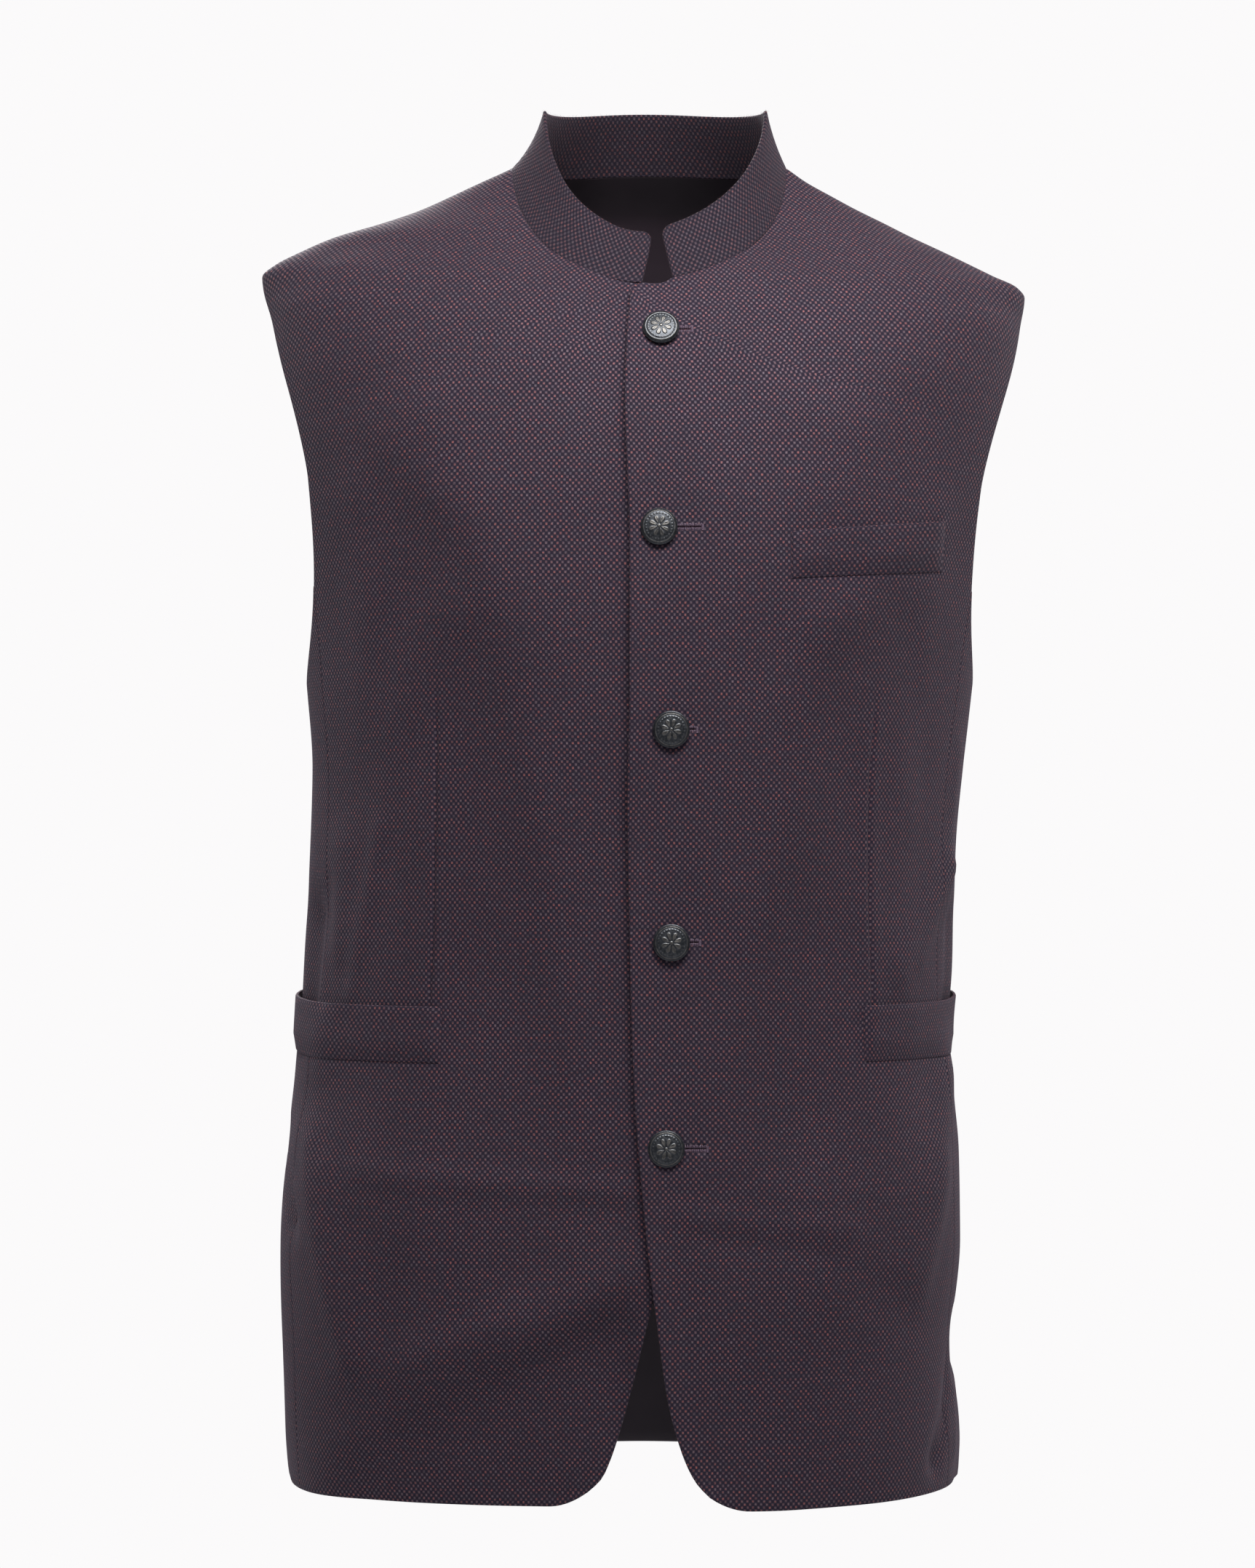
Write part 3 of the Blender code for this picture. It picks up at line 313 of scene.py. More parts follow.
# Smaller creases of the cloth, in the columns of the large folds
CREASES = (
    (-60.0, -0.372, -66.0, -0.466, 0.0060, 0.0013),
    (-74.0, -0.405, -72.0, -0.470, 0.0060, -0.0014),
    (-66.0, -0.560, -57.0, -0.655, 0.0090, 0.0014),
    (-79.0, -0.566, -73.0, -0.598, 0.0050, -0.0012),
    (-30.0, -0.638, -52.0, -0.668, 0.0100, 0.0012),
    (-8.0, -0.640, -34.0, -0.672, 0.0110, -0.0011),
    (-4.0, -0.568, -60.0, -0.561, 0.0048, 0.0014),
    (-8.0, -0.582, -54.0, -0.575, 0.0090, -0.0004),
    (6.0, -0.581, 46.0, -0.592, 0.0048, 0.0011),
    (12.0, -0.594, 42.0, -0.604, 0.0070, -0.0007),
    (-70.5, -0.548, -60.5, -0.662, 0.0065, 0.0018),
    (80.0, -0.330, 79.0, -0.460, 0.0060, 0.0011),
    (79.0, -0.396, 68.0, -0.448, 0.0070, 0.0013),
    (70.0, -0.560, 62.0, -0.630, 0.0085, 0.0012),
    (78.0, -0.668, 71.0, -0.712, 0.0042, 0.0014),
    (82.0, -0.688, 79.0, -0.724, 0.0038, 0.0012),
    (32.0, -0.590, 58.0, -0.640, 0.0130, -0.0008),
    (14.0, -0.560, 16.0, -0.700, 0.0130, 0.0007),
    (20.0, -0.110, 46.0, -0.150, 0.0160, 0.0007),
    (-22.0, -0.110, -48.0, -0.145, 0.0160, 0.0007),
    (64.0, -0.200, 40.0, -0.262, 0.0150, 0.0009),
    (-62.0, -0.190, -42.0, -0.255, 0.0150, 0.0009),
    (58.0, -0.262, 66.0, -0.345, 0.0120, -0.0008),
    (-56.0, -0.262, -64.0, -0.350, 0.0120, -0.0008),
    (8.0, -0.150, 9.0, -0.205, 0.0090, -0.0006),
    (9.0, -0.255, 10.0, -0.310, 0.0090, -0.0006),
    (10.0, -0.360, 10.0, -0.425, 0.0090, -0.0007),
    (9.0, -0.470, 8.0, -0.535, 0.0090, -0.0006),
    (118.0, -0.300, 142.0, -0.352, 0.0090, 0.0016),
    (-118.0, -0.305, -144.0, -0.362, 0.0090, 0.0014),
    (124.0, -0.372, 156.0, -0.398, 0.0080, -0.0013),
    (-122.0, -0.360, -158.0, -0.392, 0.0080, -0.0015),
    (140.0, -0.430, 176.0, -0.420, 0.0080, 0.0013),
    (-138.0, -0.440, -172.0, -0.455, 0.0080, 0.0012),
    (160.0, -0.478, 208.0, -0.486, 0.0100, -0.0012),
    (150.0, -0.100, 160.0, -0.250, 0.0180, 0.0010),
    (-152.0, -0.110, -161.0, -0.245, 0.0180, 0.0010),
    (104.0, -0.345, 98.0, -0.440, 0.0080, -0.0012),
    (-102.0, -0.340, -97.0, -0.430, 0.0080, -0.0012),
    (150.0, -0.560, 148.0, -0.735, 0.0140, -0.0012),
    (-150.0, -0.550, -146.0, -0.735, 0.0140, -0.0012),
)

# Where the fronts fall back below the chest: the height, the angle of the full part's edge
# on the wearer's right and left, and how far the cloth falls back beside it
FALL_COLUMNS = ("height", "right", "left", "depth")
FALLS = (
    (-0.100, 74.0, 66.0, 0.0000),
    (-0.150, 60.0, 60.0, 0.0040),
    (-0.230, 37.0, 52.0, 0.0085),
    (-0.290, 31.0, 39.0, 0.0100),
    (-0.382, 25.0, 34.0, 0.0100),
    (-0.446, 21.0, 26.0, 0.0085),
    (-0.520, 18.0, 22.0, 0.0045),
    (-0.570, 16.0, 20.0, 0.0000),
)
FALL_WIDTH = 0.062
FALL_SOFT = 0.007
FALL_SIDE = (66.0, 88.0)

# Where the right front's skirt turns back below a slanting line: the line's angle and
# height at both ends, how far and over what width it turns back, and the shares of the
# line over which the turn begins and ends
TURN_LINE = (-3.0, -0.612, -66.0, -0.716)
TURN_DEPTH = 0.0130
TURN_WIDTH = 0.110
TURN_SOFT = 0.004
TURN_START = (-0.06, 0.05)
TURN_END = (0.85, 1.10)

# Slow unevenness of the lying cloth: waves round the form and up it, in radians, with
# their shift and height
WAVE_COLUMNS = ("around", "upward", "shift", "height")
WAVES = (
    (5.0, 11.0, 0.4, 0.00035),
    (7.0, -14.0, 1.9, 0.00028),
    (12.0, 19.0, 3.1, 0.00014),
    (17.0, -27.0, 4.4, 0.00008),
)
WAVE_FREE = 0.030

# Worked buttonholes: rows of purl stitches along both lips and a bar across the outer end,
# with the bend, the turn and the size limits of each stitch, and the slit between the rows
PURL_SPACING = 0.00062
PURL_LENGTH = 0.00155
PURL_RISE = 0.00055
PURL_RADIUS = 0.00023
LIP_GAP = 0.00035
BAR_HEIGHT = 0.0037
BAR_WIDTH = 0.0012
THREAD_SIDES = 6
STITCH_STEPS = 6
STITCH_START_SINK = -0.0003
STITCH_END_SINK = -0.0002
STITCH_CROWN = 0.38
STITCH_TURN = 0.16
STITCH_SIZES = ((0.85, 1.10), (0.84, 1.12), (0.85, 1.15))
STITCH_ROWS = ((1.0, 11.0), (-1.0, 23.0))
BAR_STEPS = 5
BAR_TURN = 0.12
BAR_RISE = 1.35
BAR_PACKING = 1.7
BAR_SEED = 37.0
BAR_CLEARANCE = -0.8
PURL_LIFT = 0.0001
FIRST_HOLE_SEED = 100
SLIT_SHORTER = 0.001
SLIT_WIDTH = 0.0008

# Buttons: a dome inside a raised line, a ring of beads and a rosette of plain petals
BUTTON_TURNS = 144
BUTTON_RINGS = 72
RIM_LINE = (0.00865, 0.00035, 0.00022)
BEAD_RING = (0.0072, 0.00040, 0.00020)
BEADS = 28
PETALS = 8
PETAL_SPAN = (0.0013, 0.0058)
PETAL_RISE = 0.00026
PETAL_WIDTH = 0.80
CENTRE_RISE = 0.00034
CENTRE_RADIUS = 0.0010
PETAL_SOFT = (-0.05, 0.30)
VEIN_DEPTH = 0.35
VEIN_WIDTH = 0.10
RING_CROWDING = 0.92

# Loose fibres along the collar's top edge: their spacing, their bend as shares of their
# length, and how far they lean and turn, in radians
FIBRE_SPACING = 0.00042
FIBRE_LENGTH = 0.0016
FIBRE_RADIUS = 0.000018
FIBRE_EDGE_LINES = 4
FIBRE_EDGE_WIDTH = 1.5
FIBRE_SEED = 7
FIBRE_STEPS = 5
FIBRE_SIDES = 3
FIBRE_ROOT = -0.0001
FIBRE_BEND = 0.55
FIBRE_REACH = 0.8
FIBRE_LEAN = 0.7
FIBRE_TURN = 3.14
FIBRE_SHORTEST = 0.25

# Birdseye weave: the dots' repeat across and up, in metres
REPEAT_ACROSS = 0.00302
REPEAT_UP = 0.00341
DARK_GROUND = (0.0120, 0.0085, 0.0175, 1.0)
SLATE_CELL = (0.0370, 0.0320, 0.0390, 1.0)
PLUM_CELL = (0.0560, 0.0300, 0.0420, 1.0)
RUST_DOT = (0.300, 0.098, 0.080, 1.0)
MAUVE_DOT = (0.160, 0.120, 0.130, 1.0)
CLOTH_BRIGHTNESS = 0.86
WELT_BRIGHTNESS = 0.83
# The collar is the same wool as the body, drawn much darker: painted shade, not a darker cloth
COLLAR_SHADED_BRIGHTNESS = 0.45

# How the yarns wander, and how their noises are stretched across and up
WANDER_SCALE = 95.0
WANDER = 0.0011
FLUFF_SCALE = 2600.0
FLUFF = 0.8
DOT_SCALE = 360.0
YARN_STRETCH = (40.0, 420.0)
HUE_STRETCH = (190.0, 330.0)
CLOUD_SCALE = 11.0

# The light cells and the dots at their middle, as steps of the weave's lattice
CELL_STEP = (-0.20, 0.50)
CORE_STEP = (0.15, 0.95)
HUE_STEP = (0.40, 0.60)
GLOSS_STEP = (-0.55, 0.55)
WOOL_ROUGHNESS = (0.88, 0.58)
WOOL_SPECULAR = 0.42
WOOL_TINT = (0.86, 0.76, 0.98, 1.0)
WOOL_SHEEN = 0.10
WOOL_SHEEN_ROUGHNESS = 0.45
WOOL_SHEEN_TINT = (0.78, 0.66, 0.76, 1.0)
WOOL_RELIEF = 0.00022

# The sockets of a random value, by its kind: the lower limit, the upper one and the result
RANDOM_SOCKETS = {"FLOAT": ("Min_001", "Max_001", "Value_001"), "FLOAT_VECTOR": ("Min", "Max", "Value")}

# The other finishes
LINING_COLOURS = (0.022, 0.015, 0.021, 1.0), (0.030, 0.021, 0.028, 1.0)
TWILL_SPACING = 0.0006
THREAD_COLOUR = (0.130, 0.085, 0.125)
FIBRE_COLOUR = (0.150, 0.085, 0.100)
THREAD_SHADE = 0.62
PLATE_COLOURS = (0.046, 0.051, 0.056, 1.0), (0.078, 0.084, 0.090, 1.0)
WORN_METAL = (0.160, 0.155, 0.140, 1.0)
METAL_SHARE = 0.88
METAL_ROUGHNESS = (0.30, 0.46)
FLOOR_COLOURS = (0.74, 0.73, 0.735, 1.0), (0.78, 0.77, 0.775, 1.0)

# The photograph's place: camera, and its focal length for a 36 mm frame
CAMERA_PLACE = (-0.0090, -2.5, -0.3490)
CAMERA_FRAME = 36.0
IMAGE_HEIGHT = 2156
FOCAL_PIXELS = 6059
CLIP_NEAR = 0.05
CLIP_FAR = 40.0

# The seam, welt and collar details that only show close by
WELT_SEWN = 0.0100
WELT_END_SEWN = 0.0035
HIP_WELT_LENGTH = 0.166
WELT_LIE = 0.00015
WELT_EDGE = 0.00045
COLLAR_ROUND = np.linspace(0.0004, 0.016, 12)

# The studio: the floor's height and radius, the white surround as it is seen, the light
# that it gives from below and from above, and soft lamps, each with its name, place, aim,
# size, power and colour
FLOOR_HEIGHT = -1.45
FLOOR_RADIUS = 2.6
FLOOR_SIDES = 96
SURROUND = (0.965, 0.955, 0.960, 1.0)
LIGHT_FROM_BELOW = (0.03, 0.03, 0.04, 1.0)
LIGHT_FROM_ABOVE = (0.38, 0.38, 0.42, 1.0)
LIGHT_TURN = (-0.6, 0.8)
LAMPS = (
    ("key_lamp", (0.20, -1.00, 0.88), (0.0, 0.0, -0.08), (1.1, 0.5), 32.0, (1.0, 0.970, 0.980)),
    ("left_strip", (-1.30, 0.40, 0.0), (0.0, 0.0, -0.35), (0.4, 1.2), 3.6, (0.97, 0.98, 1.0)),
    ("right_strip", (1.30, 0.40, 0.0), (0.0, 0.0, -0.35), (0.4, 1.2), 3.4, (0.97, 0.98, 1.0)),
    ("back_lamp", (-0.4, 1.7, 0.9), (0.0, 0.0, -0.30), (1.0, 0.8), 24.0, (1.0, 1.0, 1.0)),
)


def table(columns, rows):
    """The rows of a table, as one array for each named column."""
    return {name: np.array([row[k] for row in rows]) for k, name in enumerate(columns)}


def smooth(x, knots, values):
    """A smooth curve through knots in rising order that never overshoots them."""
    x = np.clip(x, knots[0], knots[-1])
    step = np.diff(knots)
    slope = np.diff(values) / step
    rate = np.zeros(len(knots))
    before = slope[:-1]
    after = slope[1:]
    near = 2 * step[1:] + step[:-1]
    far = step[1:] + 2 * step[:-1]
    same = before * after > 0
    total = np.where(same, near * after + far * before, 1.0)
    rate[1:-1] = np.where(same, (near + far) * before * after / total, 0.0)
    rate[0] = slope[0]
    rate[-1] = slope[-1]
    k = np.clip(np.searchsorted(knots, x, side="right") - 1, 0, len(step) - 1)
    t = (x - knots[k]) / step[k]
    return (values[k] * (1 + 2 * t) * (1 - t) ** 2 + values[k + 1] * t * t * (3 - 2 * t)
            + step[k] * rate[k] * t * (1 - t) ** 2 - step[k] * rate[k + 1] * t * t * (1 - t))


def ease(x, start, end):
    """0 at start, 1 at end, with a smooth way between."""
    t = np.clip((x - start) / (end - start), 0.0, 1.0)
    return t * t * (3 - 2 * t)


FORM = {name: values[::-1] for name, values in table(SECTION_COLUMNS, SECTIONS).items()}
EDGES = {name: values[::-1] for name, values in table(EDGE_COLUMNS, FRONT_EDGES).items()}


def oval_radius(angle, right_side, left_side, front, back, squareness):
    """Distance from the axis to an oval with four unlike half axes."""
    across = np.sin(angle)
    along = np.cos(angle)
    width = np.where(across >= 0, left_side, right_side)
    depth = np.where(along >= 0, front, back)
    return (np.abs(across / width) ** squareness
            + np.abs(along / depth) ** squareness) ** (-1.0 / squareness)


def section(name, height):
    """One of the sizes of the level section at a height."""
    return smooth(height, FORM["height"], FORM[name])


def form_radius(angle, height):
    """Distance from the axis to the form at an angle and a height."""
    sizes = {name: section(name, height) for name in SECTION_COLUMNS[1:]}
    from_side = np.abs(np.arccos(np.clip(np.cos(angle), -1.0, 1.0)) - math.pi / 2)
    away = ease(from_side, *np.radians(TIP_ANGLES)) * (1 - ease(height, *TIP_HEIGHTS))
    for name in ("right_side", "left_side"):
        around = section(name, height + TIP_REACH) + section(name, height - TIP_REACH)
        sizes[name] = sizes[name] + away * (around - 2 * sizes[name]) / 4
    return oval_radius(angle, **sizes)


def form_point(angle, height):
    """Point of the form, shape (..., 3)."""
    radius = form_radius(angle, height)
    return np.stack([radius * np.sin(angle), -radius * np.cos(angle), height + 0 * radius], axis=-1)


def unit(vectors):
    return vectors / np.linalg.norm(vectors, axis=-1, keepdims=True)


def form_normal(angle, height):
    """Outward unit normal of the form."""
    radius = form_radius(angle, height)
    around = form_radius(angle + TURN_STEP, height) - form_radius(angle - TURN_STEP, height)
    upward = form_radius(angle, height + RISE_STEP) - form_radius(angle, height - RISE_STEP)
    around = around / (2 * TURN_STEP)
    upward = upward / (2 * RISE_STEP)
    return unit(np.stack([radius * np.sin(angle) - around * np.cos(angle),
                          -radius * np.cos(angle) - around * np.sin(angle),
                          -radius * upward], axis=-1))


def bisect(value, low, high, steps=44):
    """Where a rising function of an array crosses zero."""
    low = np.array(low, dtype=float)
    high = np.array(high, dtype=float)
    for _ in range(steps):
        middle = (low + high) / 2
        above = value(middle) > 0
        high = np.where(above, middle, high)
        low = np.where(above, low, middle)
    return (low + high) / 2


def angle_at_across(across, height):
    """Angle on the front half where the form lies this far to the wearer's left."""
    across = np.asarray(across, dtype=float) + 0 * np.asarray(height)
    limit = 0 * across + math.radians(89)
    return bisect(lambda a: form_point(a, height)[..., 0] - across, -limit, limit)


def angle_at_depth(depth, height, side):
    """Angle on one side where the form lies at this depth, 0 being the origin's plane."""
    depth = np.asarray(depth, dtype=float) + 0 * np.asarray(height)
    angle = bisect(lambda a: form_point(a, height)[..., 1] - depth, 0 * depth, 0 * depth + math.pi)
    return angle if side == "left" else -angle


def neck_height(angle, allowance=0.0):
    """Height of the neck seam, where the form meets the neck's oval."""
    target = oval_radius(angle, **NECK_SEAM) + allowance
    low = 0 * target + NECK_LOWEST
    high = 0 * target + NECK_HIGHEST
    return bisect(lambda z: target - form_radius(angle, z), low, high)


def left_edge(height):
    return smooth(height, EDGES["height"], EDGES["left_front"])


def right_edge(height):
    return smooth(height, EDGES["height"], EDGES["right_front"])


def lap(side, across, height):
    """How far a front or a collar end stands off the form where the fronts lap."""
    edge = left_edge(height)
    fade = 1 - ease(height, *LAP_FADE)
    if side == "left":
        return LAP_RAISE * fade * (1 - ease(across - edge, *LAP_BLEND_OVER))
    return -LAP_SINK * fade * (1 - ease(edge - across, *LAP_BLEND_UNDER))


def relief(angle, height, rows):
    """Sum of soft folds, each falling off with the distance from its line."""
    total = 0 * angle
    for row in rows:
        fold = dict(zip(FOLD_COLUMNS, row))
        start = math.radians(fold["top_angle"])
        run = np.array([FOLD_RADIUS * (math.radians(fold["low_angle"]) - start),
                        fold["low"] - fold["top"]])
        away = FOLD_RADIUS * ((angle - start + math.pi) % FULL_TURN - math.pi)
        up = height - fold["top"]
        share = np.clip((away * run[0] + up * run[1]) / (run @ run), 0.0, 1.0)
        distance = np.hypot(away - share * run[0], up - share * run[1])
        total = total + fold["height"] * np.exp(-(distance / fold["half_width"]) ** 2)
    return total


def collar_normal_at_seam(angle):
    """Normal shared by the cloth and the collar where they are sewn together."""
    base, top = collar_lines(angle)
    return unit(form_normal(angle, neck_height(angle)) + collar_normal(angle, top - base))


def collar_normal(angle, upward):
    """Outward normal of the collar band at an angle, given its way up."""
    around = collar_lines(angle + TURN_STEP)[0] - collar_lines(angle - TURN_STEP)[0]
    return unit(np.cross(around, upward))


def collar_lines(angle):
    """Points of the neck seam and of the collar's top edge at an angle."""
    height = neck_height(angle)
    radius = oval_radius(angle, **NECK_SEAM)
    base = np.stack([radius * np.sin(angle), -radius * np.cos(angle), height], axis=-1)
    behind = (1 - np.cos(angle)) / 2
    rise = COLLAR_RISE_FRONT + (COLLAR_RISE_BACK - COLLAR_RISE_FRONT) * behind ** COLLAR_RISE_POWER
    reach = oval_radius(angle, **COLLAR_TOP)
    top = np.stack([reach * np.sin(angle), -reach * np.cos(angle), height + rise], axis=-1)
    return base, top


def armhole_middle(side):
    """Height of an armhole's middle, and half its height."""
    return (ARMHOLE_TOP[side] + ARMHOLE_BOTTOM) / 2, (ARMHOLE_TOP[side] - ARMHOLE_BOTTOM) / 2


def armhole_depth(height, side, forward):
    """Depth of the armhole's front or back edge at a height."""
    middle, half = armhole_middle(side)
    share = np.clip(np.abs((height - middle) / half), 0.0, 1.0)
    power = np.where(height > middle, ARMHOLE_SQUARENESS["upper"], ARMHOLE_SQUARENESS["lower"])
    width = (1 - share ** power) ** (1 / power)
    if forward:
        return SHOULDER_SEAM_DEPTH - (ARMHOLE_FRONT + SHOULDER_SEAM_DEPTH) * width
    return SHOULDER_SEAM_DEPTH + ARMHOLE_BACK * width


def armhole_line(side, forward, seam_depth):
    """Armhole from where it crosses a side seam up to the shoulder seam."""
    middle, half = armhole_middle(side)
    turn = np.linspace(0.0, 1.0, DENSE)
    height = middle - half * np.cos(turn * math.pi)
    depth = armhole_depth(height, side, forward)
    above = depth <= seam_depth if forward else depth >= seam_depth
    keep = above | (turn > 0.5)
    depth[-1] = SHOULDER_SEAM_DEPTH + (-1 if forward else 1) * SEAM_GAP / 2
    return angle_at_depth(depth[keep], height[keep], side), height[keep]


def armhole_crossing(side, forward, seam_depth):
    """Height where the armhole crosses a side seam."""
    sign = -1 if forward else 1
    return float(bisect(lambda z: sign * (armhole_depth(z, side, forward) - seam_depth),
                        ARMHOLE_BOTTOM, armhole_middle(side)[0]))


def seam_turn(side):
    """Half the gap at a side seam, as a turn towards the back."""
    return (1 if side == "left" else -1) * SEAM_GAP / 2 / SIDE_SEAM_RADIUS


def neck_end_angle(side, forward):
    """Angle where the neck seam meets the shoulder seam."""
    sign = 1 if side == "left" else -1
    depth = SHOULDER_SEAM_DEPTH + (-1 if forward else 1) * SEAM_GAP / 2

    def behind(angle):
        radius = oval_radius(sign * angle, **NECK_SEAM)
        return -radius * np.cos(angle) - depth

    return sign * float(bisect(behind, *np.radians(NECK_END_SEARCH)))


def armhole_floor(depth, side, forward):
    """Height of the armhole's lower half at a depth."""
    middle, half = armhole_middle(side)
    width = ARMHOLE_FRONT + SHOULDER_SEAM_DEPTH if forward else ARMHOLE_BACK
    share = np.clip(np.abs(depth - SHOULDER_SEAM_DEPTH) / width, 0.0, 1.0)
    power = ARMHOLE_SQUARENESS["lower"]
    return middle - half * (1 - share ** power) ** (1 / power)


def button_place(across, height):
    """Point on the left front's outer face, its normal and the level direction along it."""
    height = np.array([height])
    angle = angle_at_across(across, height)
    base = form_point(angle, height)
    normal = form_normal(angle, height)
    lift = relief(angle, height, FOLDS) + lap("left", base[..., 0], height)
    point = Vector(base[0] + lift[0] * normal[0])
    normal = Vector(normal[0])
    level = Vector((0, 0, 1)).cross(normal).normalized()
    return point, normal, level


def button_frame(point, normal, level):
    """Axes on the cloth: level along it, up it, and out of it."""
    frame = Matrix((level, normal.cross(level), normal)).transposed().to_4x4()
    frame.translation = point
    return frame


def line_at(line, share):
    """Angle and height at shares of a line's length on the form."""
    angles, heights = line
    steps = np.linalg.norm(np.diff(form_point(angles, heights), axis=0), axis=1)
    length = np.concatenate([[0.0], np.cumsum(steps)])
    wanted = share * length[-1]
    return np.stack([np.interp(wanted, length, angles), np.interp(wanted, length, heights)], axis=-1)


def following(first, second, corner, share):
    """Angle and height along two lines, the second following the first from the corner on."""
    before = line_at(first, np.clip(share / corner, 0.0, 1.0))
    after = line_at(second, np.clip((share - corner) / (1 - corner), 0.0, 1.0))
    return np.where((share <= corner)[..., None], before, after)


def shares(length, roll, corners=()):
    """Shares of a length in even steps, with the lines of a roll at both ends."""
    near = roll * np.array(ROLL_LINES) / length
    stops = [near[-1], *corners, 1 - near[-1]]
    runs = [near]
    for here, after in zip(stops, stops[1:]):
        count = max(2, round((after - here) * length / CLOTH_STEP))
        runs.append(np.linspace(here, after, count + 1)[1:])
    runs.append((1 - near[:-1])[::-1])
    return np.concatenate(runs)


def spread(low, top, start, end, across, upward):
    """Angle and height inside four edge lines, each given as a function of its share."""
    u = across[..., None]
    v = upward[..., None]
    corner = np.array([0.0]), np.array([1.0])
    return ((1 - u) * start(upward) + u * end(upward) + (1 - v) * low(across) + v * top(across)
            - (1 - u) * (1 - v) * low(corner[0]) - u * (1 - v) * low(corner[1])
            - (1 - u) * v * top(corner[0]) - u * v * top(corner[1]))


def rolled(distance, radius):
    """How far an edge has rolled over at a distance from it."""
    t = np.clip(distance / radius, 0.0, 1.0)
    return radius * (1 - np.sqrt(1 - (1 - t) ** 2))


def unevenness(angle, height):
    """Slow waves of cloth that hangs free."""
    total = 0 * angle
    for row in WAVES:
        wave = dict(zip(WAVE_COLUMNS, row))
        phase = wave["around"] * angle + wave["upward"] * height * math.pi + wave["shift"]
        total = total + wave["height"] * np.sin(phase)
    return total


def dart_furrow(side, points):
    """The furrow of a front's dart, with the cloth swelling a little beside it."""
    dart = table(DART_COLUMNS, DARTS[side])
    heights = dart["height"][::-1]
    distance = points[..., 0] - np.interp(points[..., 2], heights, dart["distance"][::-1])
    top = heights[-1]
    along = 1 - ease(points[..., 2], top - DART_TOP_FADE, top)
    along = along * ease(points[..., 2], heights[0] - DART_LOW_FADE, heights[0])
    furrow = DART_DEPTH * np.exp(-(distance / DART_HALF_WIDTH) ** 2)
    swell = DART_SWELL * np.exp(-(distance / DART_SWELL_WIDTH) ** 2)
    return along * (swell - furrow)


def standing_edge(side, points):
    """How a front's free edge stands up a little, on the left over the right."""
    edge = left_edge if side == "left" else right_edge
    away = np.abs(points[..., 0] - edge(points[..., 2]))
    return EDGE_STAND[side] * np.exp(-(away / EDGE_STAND_REACH) ** 2)


def turned_away(distance, width, soft):
    """A soft turn of the cloth away from a line, steep at first and flat at the width."""
    reach = np.clip((distance + np.sqrt(distance ** 2 + soft ** 2)) / 2 / width, 0.0, 1.0)
    return reach * (2 - reach)


def fall_back(angle, height):
    """How far the fronts fall back beside and below the full part of the chest."""
    falls = table(FALL_COLUMNS, FALLS[::-1])
    turn = np.degrees((angle + math.pi) % FULL_TURN - math.pi)
    edge = np.where(turn > 0, smooth(height, falls["height"], falls["left"]),
                    smooth(height, falls["height"], falls["right"]))
    beyond = FOLD_RADIUS * np.radians(np.abs(turn) - edge)
    depth = smooth(height, falls["height"], falls["depth"])
    before_side = 1 - ease(np.abs(turn), *FALL_SIDE)
    return depth * turned_away(beyond, FALL_WIDTH, FALL_SOFT) * before_side


def turn_back(angle, height):
    """How far the right front's skirt turns back below its slanting line."""
    start, top, end, low = TURN_LINE
    turn = np.degrees((angle + math.pi) % FULL_TURN - math.pi)
    share = (turn - start) / (end - start)
    below = top + (low - top) * share - height
    on_skirt = ease(share, *TURN_START) * (1 - ease(share, *TURN_END))
    return TURN_DEPTH * turned_away(below, TURN_WIDTH, TURN_SOFT) * on_skirt


def lying_lift(angle, height):
    """How far the lying cloth stands off the form, apart from the pocket mouths."""
    free = ease(-height, 0.0, WAVE_FREE)
    return (relief(angle, height, FOLDS) + relief(angle, height, CREASES)
            + free * unevenness(angle, height) - fall_back(angle, height) - turn_back(angle, height))


def cloth_lift(angle, height):
    """How far the lying cloth stands off the form."""
    return lying_lift(angle, height) + relief(angle, height, HOLLOWS)


def linked(name, data):
    """A new object in the scene, with its data."""
    made = bpy.data.objects.new(name, data)
    bpy.context.scene.collection.objects.link(made)
    return made


def grid_faces(rows, columns):
    """The numbers of a grid's points, and the faces between them."""
    index = np.arange(rows * columns).reshape(rows, columns)
    faces = np.stack([index[:-1, :-1], index[:-1, 1:], index[1:, 1:], index[1:, :-1]], axis=-1)
    return index, faces.reshape(-1, 4)


def flatten(points):
    """The cut of a grid of points, laid flat by Blender's unwrap, in metres."""
    rows, columns = points.shape[:2]
    mesh = bpy.data.meshes.new("cut")
    mesh.from_pydata(points.reshape(-1, 3).tolist(), [], grid_faces(rows, columns)[1].tolist())
    mesh.uv_layers.new(name="flat")
    cut = linked("cut", mesh)
    bpy.context.view_layer.objects.active = cut
    cut.select_set(True)
    bpy.ops.object.mode_set(mode="EDIT")
    bpy.ops.mesh.select_all(action="SELECT")
    bpy.ops.uv.unwrap(method="ANGLE_BASED", margin=0.0)
    bpy.ops.object.mode_set(mode="OBJECT")
    corner = np.empty(len(mesh.loops), dtype=np.int32)
    mesh.loops.foreach_get("vertex_index", corner)
    flat = np.empty(2 * len(mesh.loops))
    mesh.uv_layers["flat"].data.foreach_get("uv", flat)
    places = np.zeros((rows * columns, 2))
    places[corner] = flat.reshape(-1, 2)
    bpy.data.objects.remove(cut)
    bpy.data.meshes.remove(mesh)
    return places.reshape(rows, columns, 2)


def grid_area(points):
    """Area of a grid of points in two or three dimensions."""
    one = points[:-1, 1:] - points[:-1, :-1]
    two = points[1:, :-1] - points[:-1, :-1]
    if points.shape[-1] == 2:
        return float(np.abs(one[..., 0] * two[..., 1] - one[..., 1] * two[..., 0]).sum())
    return float(np.linalg.norm(np.cross(one, two), axis=-1).sum())


